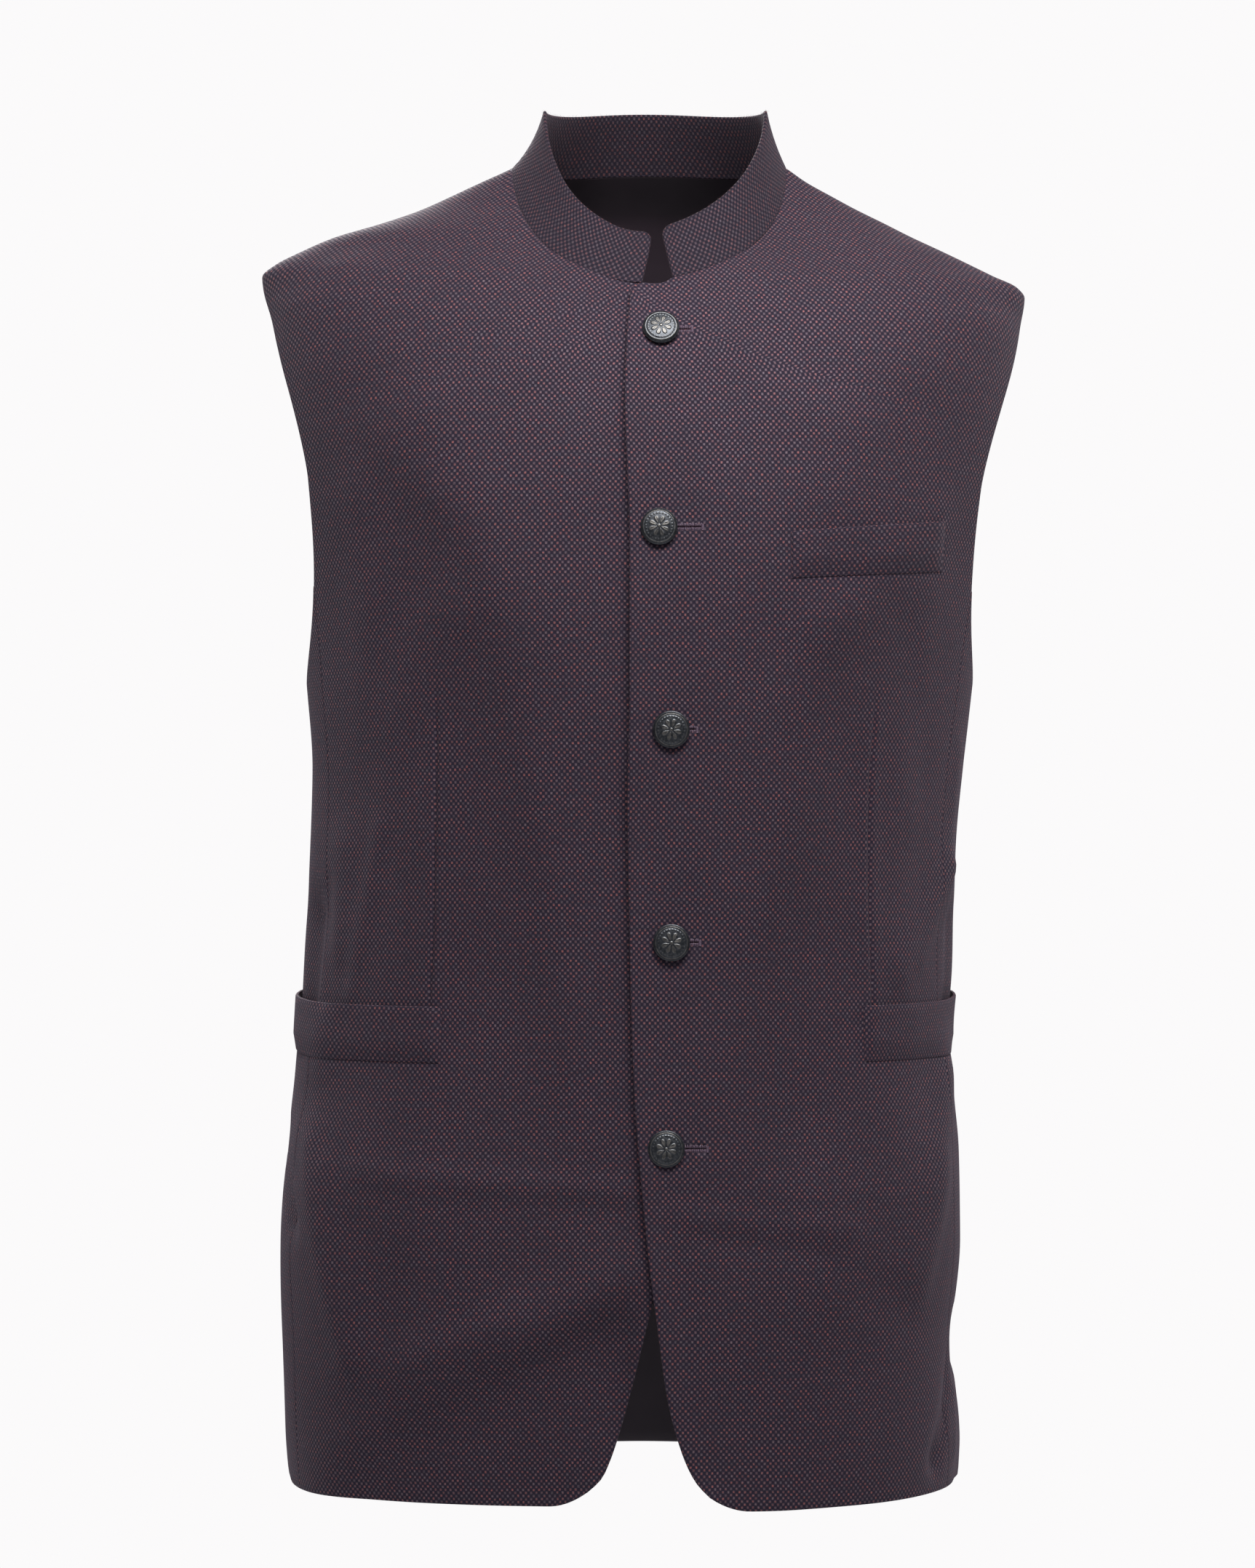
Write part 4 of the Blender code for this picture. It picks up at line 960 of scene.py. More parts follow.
def cut_places(points, across_axis):
    """The flat cut of a grid, at true size, upright and seen from outside."""
    flat = flatten(points)
    flat = flat * math.sqrt(grid_area(points) / grid_area(flat))
    flat = flat - flat.mean(axis=(0, 1))
    upright = np.stack([points @ across_axis, points[..., 2]], axis=-1)
    upright = upright - upright.mean(axis=(0, 1))
    match = flat.reshape(-1, 2).T @ upright.reshape(-1, 2)
    left, _, right = np.linalg.svd(match)
    return flat @ (left @ right)


def between_rows(values, rows, columns, at_row, at_column):
    """Values of a coarse grid read at shares between its rows and columns."""
    r = np.clip(np.searchsorted(rows, at_row, side="right") - 1, 0, len(rows) - 2)
    c = np.clip(np.searchsorted(columns, at_column, side="right") - 1, 0, len(columns) - 2)
    s = ((at_row - rows[r]) / (rows[r + 1] - rows[r]))[..., None]
    t = ((at_column - columns[c]) / (columns[c + 1] - columns[c]))[..., None]
    return ((1 - s) * ((1 - t) * values[r, c] + t * values[r, c + 1])
            + s * ((1 - t) * values[r + 1, c] + t * values[r + 1, c + 1]))


def weave_places(place_at, grid, facing, across, upward):
    """Weave places at shares of a piece, laid flat from a coarser grid of it."""
    columns, rows = (np.linspace(0, 1, count) for count in grid)
    coarse = place_at(*np.meshgrid(columns, rows))
    flat = cut_places(form_point(coarse[..., 0], coarse[..., 1]), np.array(facing))
    return between_rows(flat, rows, columns, upward, across)


def run_across(points):
    """Length of each row of a grid of points."""
    return np.linalg.norm(np.diff(points, axis=1), axis=-1).sum(axis=1)[:, None]


def run_upward(points):
    """Length of each column of a grid of points."""
    return np.linalg.norm(np.diff(points, axis=0), axis=-1).sum(axis=0)[None, :]


def edge_drop(across, upward, width, tall, rolls):
    """How far a piece's edges roll over: its start, its end, its low edge and its top."""
    start, end, low, top = rolls
    drop = np.maximum(rolled(across * width, start), rolled((1 - across) * width, end))
    return np.maximum(drop, np.maximum(rolled(upward * tall, low), rolled((1 - upward) * tall, top)))


def new_piece(name, mesh, materials):
    for material in materials:
        mesh.materials.append(material)
    return linked(name, mesh)


def add_cloth(name, outer, inner, places, materials, flip=False):
    """A cloth shell from its outer and inner points, with the weave laid on its cut."""
    if flip:
        outer = outer[:, ::-1]
        inner = inner[:, ::-1]
        places = places[:, ::-1]
    rows, columns = outer.shape[:2]
    count = rows * columns
    index, face = grid_faces(rows, columns)
    edge = np.concatenate([index[0, :-1], index[:-1, -1], index[-1, :0:-1], index[:0:-1, 0]])
    after = np.roll(edge, -1)
    rim = np.stack([after, edge, edge + count, after + count], axis=-1)
    faces = np.concatenate([face, face[:, ::-1] + count, rim])
    mesh = bpy.data.meshes.new(name)
    mesh.from_pydata(np.concatenate([outer.reshape(-1, 3), inner.reshape(-1, 3)]).tolist(),
                     [], faces.tolist())
    weave = mesh.uv_layers.new(name="weave")
    both = np.concatenate([places.reshape(-1, 2), places.reshape(-1, 2)])
    weave.data.foreach_set("uv", both[faces.reshape(-1)].reshape(-1))
    lining = np.zeros(len(faces), dtype=np.int32)
    lining[len(face):2 * len(face)] = 1
    mesh.polygons.foreach_set("material_index", lining)
    mesh.polygons.foreach_set("use_smooth", np.ones(len(faces), dtype=bool))
    mesh.update()
    return new_piece(name, mesh, materials)


def cloth_points(angle, height, drop, lapping=None, normals=None, extra=0.0):
    """Outer and inner points of lying cloth whose edges roll over."""
    base = form_point(angle, height)
    lift = cloth_lift(angle, height) + extra
    if lapping:
        lift = lift + lap(lapping, base[..., 0], height)
    if normals is None:
        normals = form_normal(angle, height)
    outer = base + (lift - drop)[..., None] * normals
    inner = base + (lift - WALL + drop)[..., None] * normals
    return outer, inner


def seam_normals(angle, height, nearness, neck_angle):
    """Normals that turn into the collar's towards the neck seam."""
    own = form_normal(angle, height)
    shared = collar_normal_at_seam(neck_angle)
    nearness = nearness[..., None]
    return unit(own * (1 - nearness) + shared * nearness)


def front_lines(side):
    """The lines round a front: free edge, neck, hem, side seam, armhole and shoulder."""
    edge = left_edge if side == "left" else right_edge
    bottom = FRONT_EDGES[-1][0]
    top = FRONT_EDGES[0][0]
    heights = np.linspace(bottom, top, DENSE)
    free = (angle_at_across(edge(heights), heights), heights)

    seam_angle = angle_at_depth(SIDE_SEAM_FRONT, np.array([HEM_HEIGHT]), side)[0] - seam_turn(side)
    hem_angles = np.linspace(free[0][0], seam_angle, DENSE)
    reach = np.abs(form_point(hem_angles, 0 * hem_angles + HEM_HEIGHT)[:, 0] - edge(bottom))
    turn = (1 - np.clip(reach / HEM_TURN, 0, 1)) ** 2
    hem = (hem_angles, HEM_HEIGHT + (bottom - HEM_HEIGHT) * turn)

    neck_angles = np.linspace(free[0][-1], neck_end_angle(side, forward=True), DENSE)
    neck_heights = neck_height(neck_angles, SEAM_GAP / 2)
    beyond = np.abs(form_point(neck_angles, neck_heights)[:, 0] - edge(top))
    drop = (neck_heights[0] - top) * (1 - np.clip(beyond / NECK_CORNER_REACH, 0, 1)) ** 2
    bare = NECK_EDGE_BARE[side]
    drop = np.maximum(drop, NECK_EDGE_DROP * (1 - ease(beyond, bare - NECK_EDGE_BLEND, bare)))
    drop[0] = neck_heights[0] - top
    neck = (neck_angles, neck_heights - drop)

    seam_heights = np.linspace(HEM_HEIGHT, armhole_crossing(side, True, SIDE_SEAM_FRONT), DENSE)
    seam = (angle_at_depth(SIDE_SEAM_FRONT, seam_heights, side) - seam_turn(side), seam_heights)
    arm_angles, arm_heights = armhole_line(side, True, SIDE_SEAM_FRONT)
    arm_angles[0] = seam[0][-1]
    arm_heights[0] = seam[1][-1]

    shoulder_heights = np.linspace(neck[1][-1], arm_heights[-1], DENSE)
    depth = SHOULDER_SEAM_DEPTH - SEAM_GAP / 2
    shoulder_angles = angle_at_depth(depth, shoulder_heights, side)
    shoulder_angles[0] = neck[0][-1]
    shoulder_angles[-1] = arm_angles[-1]
    return {"free": free, "neck": neck, "hem": hem, "seam": seam,
            "armhole": (arm_angles, arm_heights), "shoulder": (shoulder_angles, shoulder_heights)}


def front_place(side, across, upward):
    """Angle and height on a front at shares from its free edge and from its hem."""
    lines = FRONT_LINES[side]
    return spread(lambda u: line_at(lines["hem"], u), lambda u: line_at(lines["shoulder"], u),
                  lambda v: following(lines["free"], lines["neck"], FRONT_CORNER, v),
                  lambda v: following(lines["seam"], lines["armhole"], SIDE_CORNER, v),
                  across, upward)


def dart_shares(side, upward):
    """Share from the free edge at which each row of a front meets its dart's line."""
    tries = np.linspace(*DART_TRIES)
    place = front_place(side, *np.meshgrid(tries, upward))
    points = form_point(place[..., 0], place[..., 1])
    dart = table(DART_COLUMNS, DARTS[side])
    line = np.interp(points[..., 2], dart["height"][::-1], dart["distance"][::-1])
    gap = np.abs(points[..., 0]) - np.abs(line)
    found = np.array([np.interp(0.0, row, tries) for row in gap])
    return np.clip(found, *DART_LIMITS)


def front_grid(side):
    """Angles, heights and edge distances of a front, with columns along its dart."""
    width, tall = FRONT_SIZE
    upward = shares(tall, FREE_ROLL, (SIDE_CORNER, FRONT_CORNER))
    dart = dart_shares(side, upward)
    near = FREE_ROLL * np.array(ROLL_LINES) / width
    inner_count, outer_count = (round(share * width / CLOTH_STEP) for share in DART_COLUMN_SHARES)
    lines = np.array(DART_LINES) / width
    rows = []
    for middle in dart:
        rows.append(np.concatenate([
            near[:-1], np.linspace(near[-1], middle + lines[0], inner_count)[:-1], middle + lines,
            np.linspace(middle + lines[-1], 1 - near[-1], outer_count)[1:], (1 - near[:-1])[::-1]]))
    across = np.array(rows)
    upward = upward[:, None] + 0 * across
    return across, upward


def add_front(side, materials):
    across, upward = front_grid(side)
    place = front_place(side, across, upward)
    angle, height = place[..., 0], place[..., 1]
    points = form_point(angle, height)
    width = run_across(points)
    sewn_neck = ((upward > FRONT_CORNER) & on_collar(angle[:, :1], side)) + 0 * across
    start_roll = np.where(sewn_neck > 0, SEAM_ROLL, FREE_ROLL)
    end_roll = np.where(upward < SIDE_CORNER, SEAM_ROLL, FREE_ROLL)
    drop = edge_drop(across, upward, width, FRONT_SIZE[1], (start_roll, end_roll, FREE_ROLL, SEAM_ROLL))
    nearness = sewn_neck * (1 - ease(across * width, 0.0, NECK_SEAM_REACH))
    normals = seam_normals(angle, height, nearness, angle[:, :1] + 0 * across)
    extra = dart_furrow(side, points) + standing_edge(side, points)
    outer, inner = cloth_points(angle, height, drop, side, normals, extra)
    places = weave_places(lambda u, v: front_place(side, u, v), FRONT_CUT_GRID, (1.0, 0.0, 0.0),
                          across, upward)
    return add_cloth("front_%s_cloth" % side, outer, inner, places, materials, side == "right")


def on_collar(angle, side):
    """Where the neck edge of a front lies under the collar."""
    if side == "left":
        return angle > math.radians(COLLAR_ENDS["left"][0])
    return angle < math.radians(COLLAR_ENDS["right"][0]) - FULL_TURN


def side_lines(side):
    """The lines round the panel under an arm: front seam, back seam, hem and armhole."""
    lines = []
    for depth, forward, turn in ((SIDE_SEAM_FRONT, True, 1), (SIDE_SEAM_BACK, False, -1)):
        heights = np.linspace(HEM_HEIGHT, armhole_crossing(side, forward, depth), DENSE)
        lines.append((angle_at_depth(depth, heights, side) + turn * seam_turn(side), heights))
    ahead, behind = lines
    hem_angles = np.linspace(ahead[0][0], behind[0][0], DENSE)
    hem = (hem_angles, 0 * hem_angles + HEM_HEIGHT)
    turn = np.linspace(0.0, math.pi, DENSE)
    depth = SIDE_SEAM_FRONT + (SIDE_SEAM_BACK - SIDE_SEAM_FRONT) * (1 - np.cos(turn)) / 2
    heights = np.where(depth < SHOULDER_SEAM_DEPTH, armhole_floor(depth, side, True),
                       armhole_floor(depth, side, False))
    angles = angle_at_depth(depth, heights, side)
    angles[0] = ahead[0][-1]
    angles[-1] = behind[0][-1]
    heights[0] = ahead[1][-1]
    heights[-1] = behind[1][-1]
    return ahead, behind, hem, (angles, heights)


def add_side(side, materials):
    ahead, behind, hem, arc = side_lines(side)
    u, v = np.meshgrid(shares(SIDE_SIZE[0], SEAM_ROLL), shares(SIDE_SIZE[1], FREE_ROLL))

    def place_at(across, upward):
        return spread(lambda s: line_at(hem, s), lambda s: line_at(arc, s),
                      lambda s: line_at(ahead, s), lambda s: line_at(behind, s), across, upward)

    place = place_at(u, v)
    angle, height = place[..., 0], place[..., 1]
    points = form_point(angle, height)
    rolls = (SEAM_ROLL, SEAM_ROLL, FREE_ROLL, FREE_ROLL)
    drop = edge_drop(u, v, run_across(points), run_upward(points), rolls)
    outer, inner = cloth_points(angle, height, drop)
    facing = (0.0, 1.0, 0.0) if side == "left" else (0.0, -1.0, 0.0)
    places = weave_places(place_at, SIDE_CUT_GRID, facing, u, v)
    return add_cloth("side_%s_cloth" % side, outer, inner, places, materials, side == "right")


def back_lines():
    """The lines round the back, from the wearer's left to the right."""
    edges = []
    for side, whole in (("left", 0.0), ("right", FULL_TURN)):
        heights = np.linspace(HEM_HEIGHT, armhole_crossing(side, False, SIDE_SEAM_BACK), DENSE)
        seam = angle_at_depth(SIDE_SEAM_BACK, heights, side) + seam_turn(side) + whole
        arm_angles, arm_heights = armhole_line(side, False, SIDE_SEAM_BACK)
        arm_angles = arm_angles + whole
        arm_angles[0] = seam[-1]
        arm_heights[0] = heights[-1]
        edges.append(((seam, heights), (arm_angles, arm_heights)))
    start, end = edges
    hem_angles = np.linspace(start[0][0][0], end[0][0][0], DENSE)
    hem = (hem_angles, 0 * hem_angles + HEM_HEIGHT)
    neck_angles = np.linspace(neck_end_angle("left", False),
                              neck_end_angle("right", False) + FULL_TURN, DENSE)
    neck = (neck_angles, neck_height(neck_angles, SEAM_GAP / 2))
    depth = SHOULDER_SEAM_DEPTH + SEAM_GAP / 2
    shoulders = []
    for side, first, last in (("left", start[1][1][-1], neck[1][0]),
                              ("right", neck[1][-1], end[1][1][-1])):
        heights = np.linspace(first, last, DENSE)
        angles = angle_at_depth(depth, heights, side)
        shoulders.append((angles if side == "left" else angles + FULL_TURN, heights))
    shoulders[0][0][0] = start[1][0][-1]
    shoulders[0][0][-1] = neck[0][0]
    shoulders[1][0][0] = neck[0][-1]
    shoulders[1][0][-1] = end[1][0][-1]
    return start, end, hem, shoulders, neck


def add_back(materials):
    start, end, hem, shoulders, neck = back_lines()

    def top_at(share):
        first = line_at(shoulders[0], np.clip(share / BACK_SHOULDER, 0, 1))
        middle = line_at(neck, np.clip((share - BACK_SHOULDER) / (1 - 2 * BACK_SHOULDER), 0, 1))
        last = line_at(shoulders[1], np.clip((share - 1 + BACK_SHOULDER) / BACK_SHOULDER, 0, 1))
        found = np.where((share <= BACK_SHOULDER)[..., None], first, middle)
        return np.where((share > 1 - BACK_SHOULDER)[..., None], last, found)

    def place_at(across, upward):
        return spread(lambda s: line_at(hem, s), top_at,
                      lambda s: following(*start, BACK_CORNER, s),
                      lambda s: following(*end, BACK_CORNER, s), across, upward)

    u, v = np.meshgrid(shares(BACK_SIZE[0], FREE_ROLL, (BACK_SHOULDER, 1 - BACK_SHOULDER)),
                       shares(BACK_SIZE[1], FREE_ROLL, (BACK_CORNER,)))
    place = place_at(u, v)
    angle, height = place[..., 0], place[..., 1]
    points = form_point(angle, height)
    tall = run_upward(points)
    edge_roll = np.where(v < BACK_CORNER, SEAM_ROLL, FREE_ROLL)
    drop = edge_drop(u, v, run_across(points), tall, (edge_roll, edge_roll, FREE_ROLL, SEAM_ROLL))
    at_neck = (u >= BACK_SHOULDER) & (u <= 1 - BACK_SHOULDER)
    nearness = at_neck * (1 - ease((1 - v) * tall, 0.0, NECK_SEAM_REACH))
    normals = seam_normals(angle, height, nearness, angle[-1:] + 0 * v)
    outer, inner = cloth_points(angle, height, drop, None, normals)
    places = weave_places(place_at, BACK_CUT_GRID, (-1.0, 0.0, 0.0), u, v)
    return add_cloth("back_cloth", outer, inner, places, materials)


def collar_grid(base_angle, rows):
    """Line of the collar's outer face, its normals and how high each point is, 0 to 1."""
    left_base, left_top = np.radians(COLLAR_ENDS["left"])
    right_base, right_top = np.radians(COLLAR_ENDS["right"])
    share = (base_angle - left_base) / (right_base - left_base)
    top_angle = left_top + (right_top - left_top) * share
    from_end = np.minimum(share, 1 - share) * COLLAR_LENGTH
    inside = np.clip(COLLAR_CORNER - from_end, 0.0, COLLAR_CORNER)
    cut = (COLLAR_CORNER - np.sqrt(COLLAR_CORNER ** 2 - inside ** 2)) / COLLAR_RISE_BACK
    level = rows * (1 - cut)
    angle = base_angle + (top_angle - base_angle) * level
    base, top = collar_lines(angle)
    blend = ease(level, 0.0, COLLAR_SEAM_BLEND)[..., None]
    normal = collar_normal_at_seam(angle) * (1 - blend) + collar_normal(angle, top - base) * blend
    normal = unit(normal)
    gap = SEAM_GAP / 2 * (1 - level[..., None])
    line = base + (top - base) * level[..., None] + unit(top - base) * gap
    across = line[..., 0]
    left_half = angle < math.pi
    height = 0 * across + FRONT_EDGES[0][0]
    lift = np.where(left_half, lap("left", across, height), lap("right", across, height))
    hollow = np.where(left_half, COLLAR_HOLLOW["left"], COLLAR_HOLLOW["right"]) * np.sin(angle) ** 2
    lift = np.where(np.cos(angle) > 0, lift, 0.0) - hollow * 4 * level * (1 - level)
    return line, normal, lift, level


def add_collar(materials):
    left = math.radians(COLLAR_ENDS["left"][0])
    right = math.radians(COLLAR_ENDS["right"][0])
    u = shares(COLLAR_LENGTH, FREE_ROLL)
    u = np.unique(np.concatenate([u, COLLAR_ROUND, 1 - COLLAR_ROUND]))
    v = shares(COLLAR_RISE_FRONT, FREE_ROLL)[:, None]
    line, normal, lift, level = collar_grid(left + (right - left) * u[None, :], v)
    along = np.minimum(u, 1 - u)[None, :] * COLLAR_LENGTH
    drop = np.maximum(rolled(along, FREE_ROLL), rolled((1 - v) * COLLAR_RISE_FRONT, FREE_ROLL))
    drop = np.maximum(drop, rolled(v * COLLAR_RISE_FRONT, SEAM_ROLL))
    outer = line + (lift - drop)[..., None] * normal
    inner = line + (lift - COLLAR_WALL + drop)[..., None] * normal
    steps = np.linalg.norm(np.diff(outer, axis=1), axis=-1)
    run = np.concatenate([np.zeros((len(v), 1)), np.cumsum(steps, axis=1)], axis=1)
    middle = run[len(run) // 2]
    rise = level * COLLAR_RISE_FRONT
    places = np.stack([middle[None, :] + 0 * rise, rise], axis=-1)
    return add_cloth("collar_cloth", outer, inner, places, materials)


def welt_points(angle, height, lift, drop, sewn):
    """A welt on the cloth, its edges rolled over and its sewn edges drawn down to it."""
    base = form_point(angle, height)
    normals = form_normal(angle, height)
    lift = lift + lying_lift(angle, height) + WELT_LIE + (WELT_GAP - WELT_LIE) * (1 - sewn)
    thick = WELT_WALL * (1 - sewn) + WELT_EDGE * sewn
    outer = base + (lift + thick - drop)[..., None] * normals
    inner = base + lift[..., None] * normals
    return outer, inner


def add_hip_welt(side, materials):
    """A welt from the front round to the side, its outer end standing away a little."""
    sign = 1 if side == "left" else -1
    long = HIP_WELT_LENGTH
    tall = HIP_WELT_TOP - HIP_WELT_BOTTOM
    u, v = np.meshgrid(shares(long, WELT_ROLL), shares(tall, WELT_ROLL))
    outer_angle = sign * math.radians(HIP_WELT_OUTER_ANGLE)
    inner_angle = angle_at_across(HIP_WELT_INNER[side], np.array([HIP_WELT_TOP]))[0]
    angle = inner_angle + (outer_angle - inner_angle) * u
    rise = HIP_WELT_OUTER_RISE * ease(u, *HIP_WELT_RISE_SPAN)
    height = HIP_WELT_BOTTOM + rise + tall * v
    flare = HIP_WELT_FLARE * ease(u, *HIP_WELT_FLARE_SPAN) * v
    drop = edge_drop(u, v, long, tall, (WELT_ROLL,) * 4)
    sewn = 1 - ease(v * tall, 0.0, WELT_SEWN) * ease(u * long, 0.0, WELT_END_SEWN)
    outer, inner = welt_points(angle, height, flare, drop, sewn)
    places = np.stack([sign * u * long, v * tall], axis=-1)
    return add_cloth("hip_welt_%s_cloth" % side, outer, inner, places, materials, side == "right")


def add_breast_welt(materials):
    ends = table(BREAST_WELT_ENDS, BREAST_WELT)
    long = ends["distance"][1] - ends["distance"][0]
    tall = ends["top"][0] - ends["bottom"][0]
    u, v = np.meshgrid(shares(long, WELT_ROLL), shares(tall, WELT_ROLL))
    line = {name: values[0] + (values[1] - values[0]) * u for name, values in ends.items()}
    height = line["bottom"] + (line["top"] - line["bottom"]) * v
    angle = angle_at_across(line["distance"], height)
    drop = edge_drop(u, v, long, tall, (WELT_ROLL,) * 4)
    sewn = 1 - ease(v * tall, 0.0, WELT_SEWN) * ease(np.minimum(u, 1 - u) * long, 0.0, WELT_END_SEWN)
    outer, inner = welt_points(angle, height, 0 * height, drop, sewn)
    places = np.stack([u * long, v * tall], axis=-1)
    return add_cloth("breast_welt_cloth", outer, inner, places, materials)


def dome_height(radius):
    """Height of a button's plain dome over its underside."""
    return BUTTON_EDGE + BUTTON_DOME * np.sqrt(np.clip(1 - (radius / BUTTON_DOME_RADIUS) ** 2, 0, 1))


def button_height(radius, turn):
    """Height of a button's face over its underside, at a radius and a turn round it."""
    place, half, rise = RIM_LINE
    face = dome_height(radius) + rise * np.exp(-((radius - place) / half) ** 2)
    place, half, rise = BEAD_RING
    bead = np.cos(BEADS * turn) * 0.5 + 0.5
    face = face + rise * bead * np.exp(-((radius - place) / half) ** 2)
    middle = (PETAL_SPAN[0] + PETAL_SPAN[1]) / 2
    reach = np.clip(1 - ((radius - middle) / (PETAL_SPAN[1] - middle)) ** 2, 0, 1)
    around = np.abs((turn * PETALS / FULL_TURN) % 1.0 - 0.5) * 2
    petal = ease(PETAL_WIDTH * np.sqrt(reach) - around, *PETAL_SOFT)
    vein = 1 - VEIN_DEPTH * np.exp(-(around / VEIN_WIDTH) ** 2)
    face = face + PETAL_RISE * petal * vein
    centre = np.sqrt(np.clip(1 - (radius / CENTRE_RADIUS) ** 2, 0, 1))
    return face + CENTRE_RISE * centre


def add_button(number, across, height, turn, materials):
    """A domed shank button, seated where the solid one is."""
    rings = BUTTON_DOME_RADIUS * np.sin(np.linspace(0, math.pi / 2, BUTTON_RINGS)) ** RING_CROWDING
    turns = np.linspace(0, FULL_TURN, BUTTON_TURNS, endpoint=False)
    radius, angle = np.meshgrid(rings[1:], turns, indexing="ij")
    face = np.stack([radius * np.cos(angle), radius * np.sin(angle), button_height(radius, angle)], -1)
    shank_end = -(BUTTON_STAND + WALL + LAYER_GAP - SEAM_GAP)
    outline = ((BUTTON_RADIUS - BUTTON_CORNER_IN, BUTTON_EDGE - BUTTON_CORNER_TOP),
               (BUTTON_RADIUS, BUTTON_EDGE - BUTTON_CORNER_LOW), (BUTTON_RADIUS, BUTTON_EDGE_LOW),
               (BUTTON_UNDERSIDE, 0.0), (SHANK_COLLAR, SHANK_COLLAR_TOP), (SHANK_COLLAR, SHANK_COLLAR_LOW),
               (SHANK_RADIUS, SHANK_NECK), (SHANK_RADIUS, shank_end),
               (SHANK_RADIUS * SHANK_END_SHARE, shank_end))
    below = np.array([[[r * math.cos(t), r * math.sin(t), z] for t in turns] for r, z in outline])
    rows = np.concatenate([face, below])
    count = len(turns)
    index = np.arange(len(rows) * count).reshape(len(rows), count) + 1
    after = np.roll(index, -1, axis=1)
    faces = np.stack([index[:-1], index[1:], after[1:], after[:-1]], axis=-1).reshape(-1, 4).tolist()
    faces += [[0, int(a), int(b)] for a, b in zip(index[0], after[0])]
    faces.append(index[-1][::-1].tolist())
    top = [[0.0, 0.0, float(button_height(np.array(0.0), np.array(0.0)))]]
    points = np.concatenate([top, rows.reshape(-1, 3)])
    spot = button_frame(*button_place(across, height))
    spot.translation = spot.translation + spot.col[2].to_3d() * BUTTON_STAND
    spot = np.array(spot @ Matrix.Rotation(math.radians(turn), 4, "Z"))
    mesh = bpy.data.meshes.new("button_%d_metal" % number)
    mesh.from_pydata((points @ spot[:3, :3].T + spot[:3, 3]).tolist(), [], faces)
    mesh.shade_smooth()
    depth = mesh.attributes.new("relief", "FLOAT", "POINT")
    plain = dome_height(np.hypot(points[:, 0], points[:, 1]))
    raised = np.where(np.arange(len(points)) <= face.shape[0] * count, points[:, 2] - plain, 0.0)
    depth.data.foreach_set("value", raised / PETAL_RISE)
    mesh.update()
    return new_piece("button_%d_metal" % number, mesh, materials)


def give(tree, made, values):
    """Gives a node's inputs by name or number, each a value or a socket to link."""
    for name, value in values.items():
        if isinstance(value, bpy.types.NodeSocket):
            tree.links.new(value, made.inputs[name])
        else:
            made.inputs[name].default_value = value


def node(tree, kind, links=None, **settings):
    """A node with its settings, and its inputs given by name as values or as sockets."""
    made = tree.nodes.new(kind)
    for name, value in settings.items():
        setattr(made, name, value)
    give(tree, made, links or {})
    return made


def calc(tree, operation, first, second=0.0, third=0.0):
    made = node(tree, "ShaderNodeMath", {0: first, 1: second, 2: third}, operation=operation)
    return made.outputs[0]


def ramp(tree, value, low, high, to_low=0.0, to_high=1.0):
    """A smooth step of a value between two limits."""
    made = node(tree, "ShaderNodeMapRange", {0: value, 1: low, 2: high, 3: to_low, 4: to_high},
                interpolation_type="SMOOTHSTEP")
    return made.outputs[0]


def noise(tree, vector, scale, detail=2.0, roughness=0.5):
    made = node(tree, "ShaderNodeTexNoise",
                {"Vector": vector, "Scale": scale, "Detail": detail, "Roughness": roughness})
    return made.outputs["Fac"]


def stretched(tree, vector, across, upward):
    """Places scaled unevenly, so that a noise follows the yarns."""
    made = node(tree, "ShaderNodeVectorMath", {0: vector, 1: (across, upward, 1.0)}, operation="MULTIPLY")
    return made.outputs[0]


def scaled(tree, vector, factor):
    made = node(tree, "ShaderNodeVectorMath", {0: vector, "Scale": factor}, operation="SCALE")
    return made.outputs[0]


def bumped(tree, height, strength, distance):
    """The surface's normal, raised by a height."""
    made = node(tree, "ShaderNodeBump", {"Height": height, "Strength": strength, "Distance": distance})
    return made.outputs[0]


def blend(tree, share, first, second):
    made = node(tree, "ShaderNodeMix", data_type="RGBA")
    for value, name in ((share, "Factor_Float"), (first, "A_Color"), (second, "B_Color")):
        socket = next(s for s in made.inputs if s.identifier == name)
        if isinstance(value, bpy.types.NodeSocket):
            tree.links.new(value, socket)
        else:
            socket.default_value = value
    return next(s for s in made.outputs if s.identifier == "Result_Color")


def new_material(name):
    material = bpy.data.materials.new(name)
    material.use_nodes = True
    tree = material.node_tree
    return material, tree, tree.nodes["Principled BSDF"]


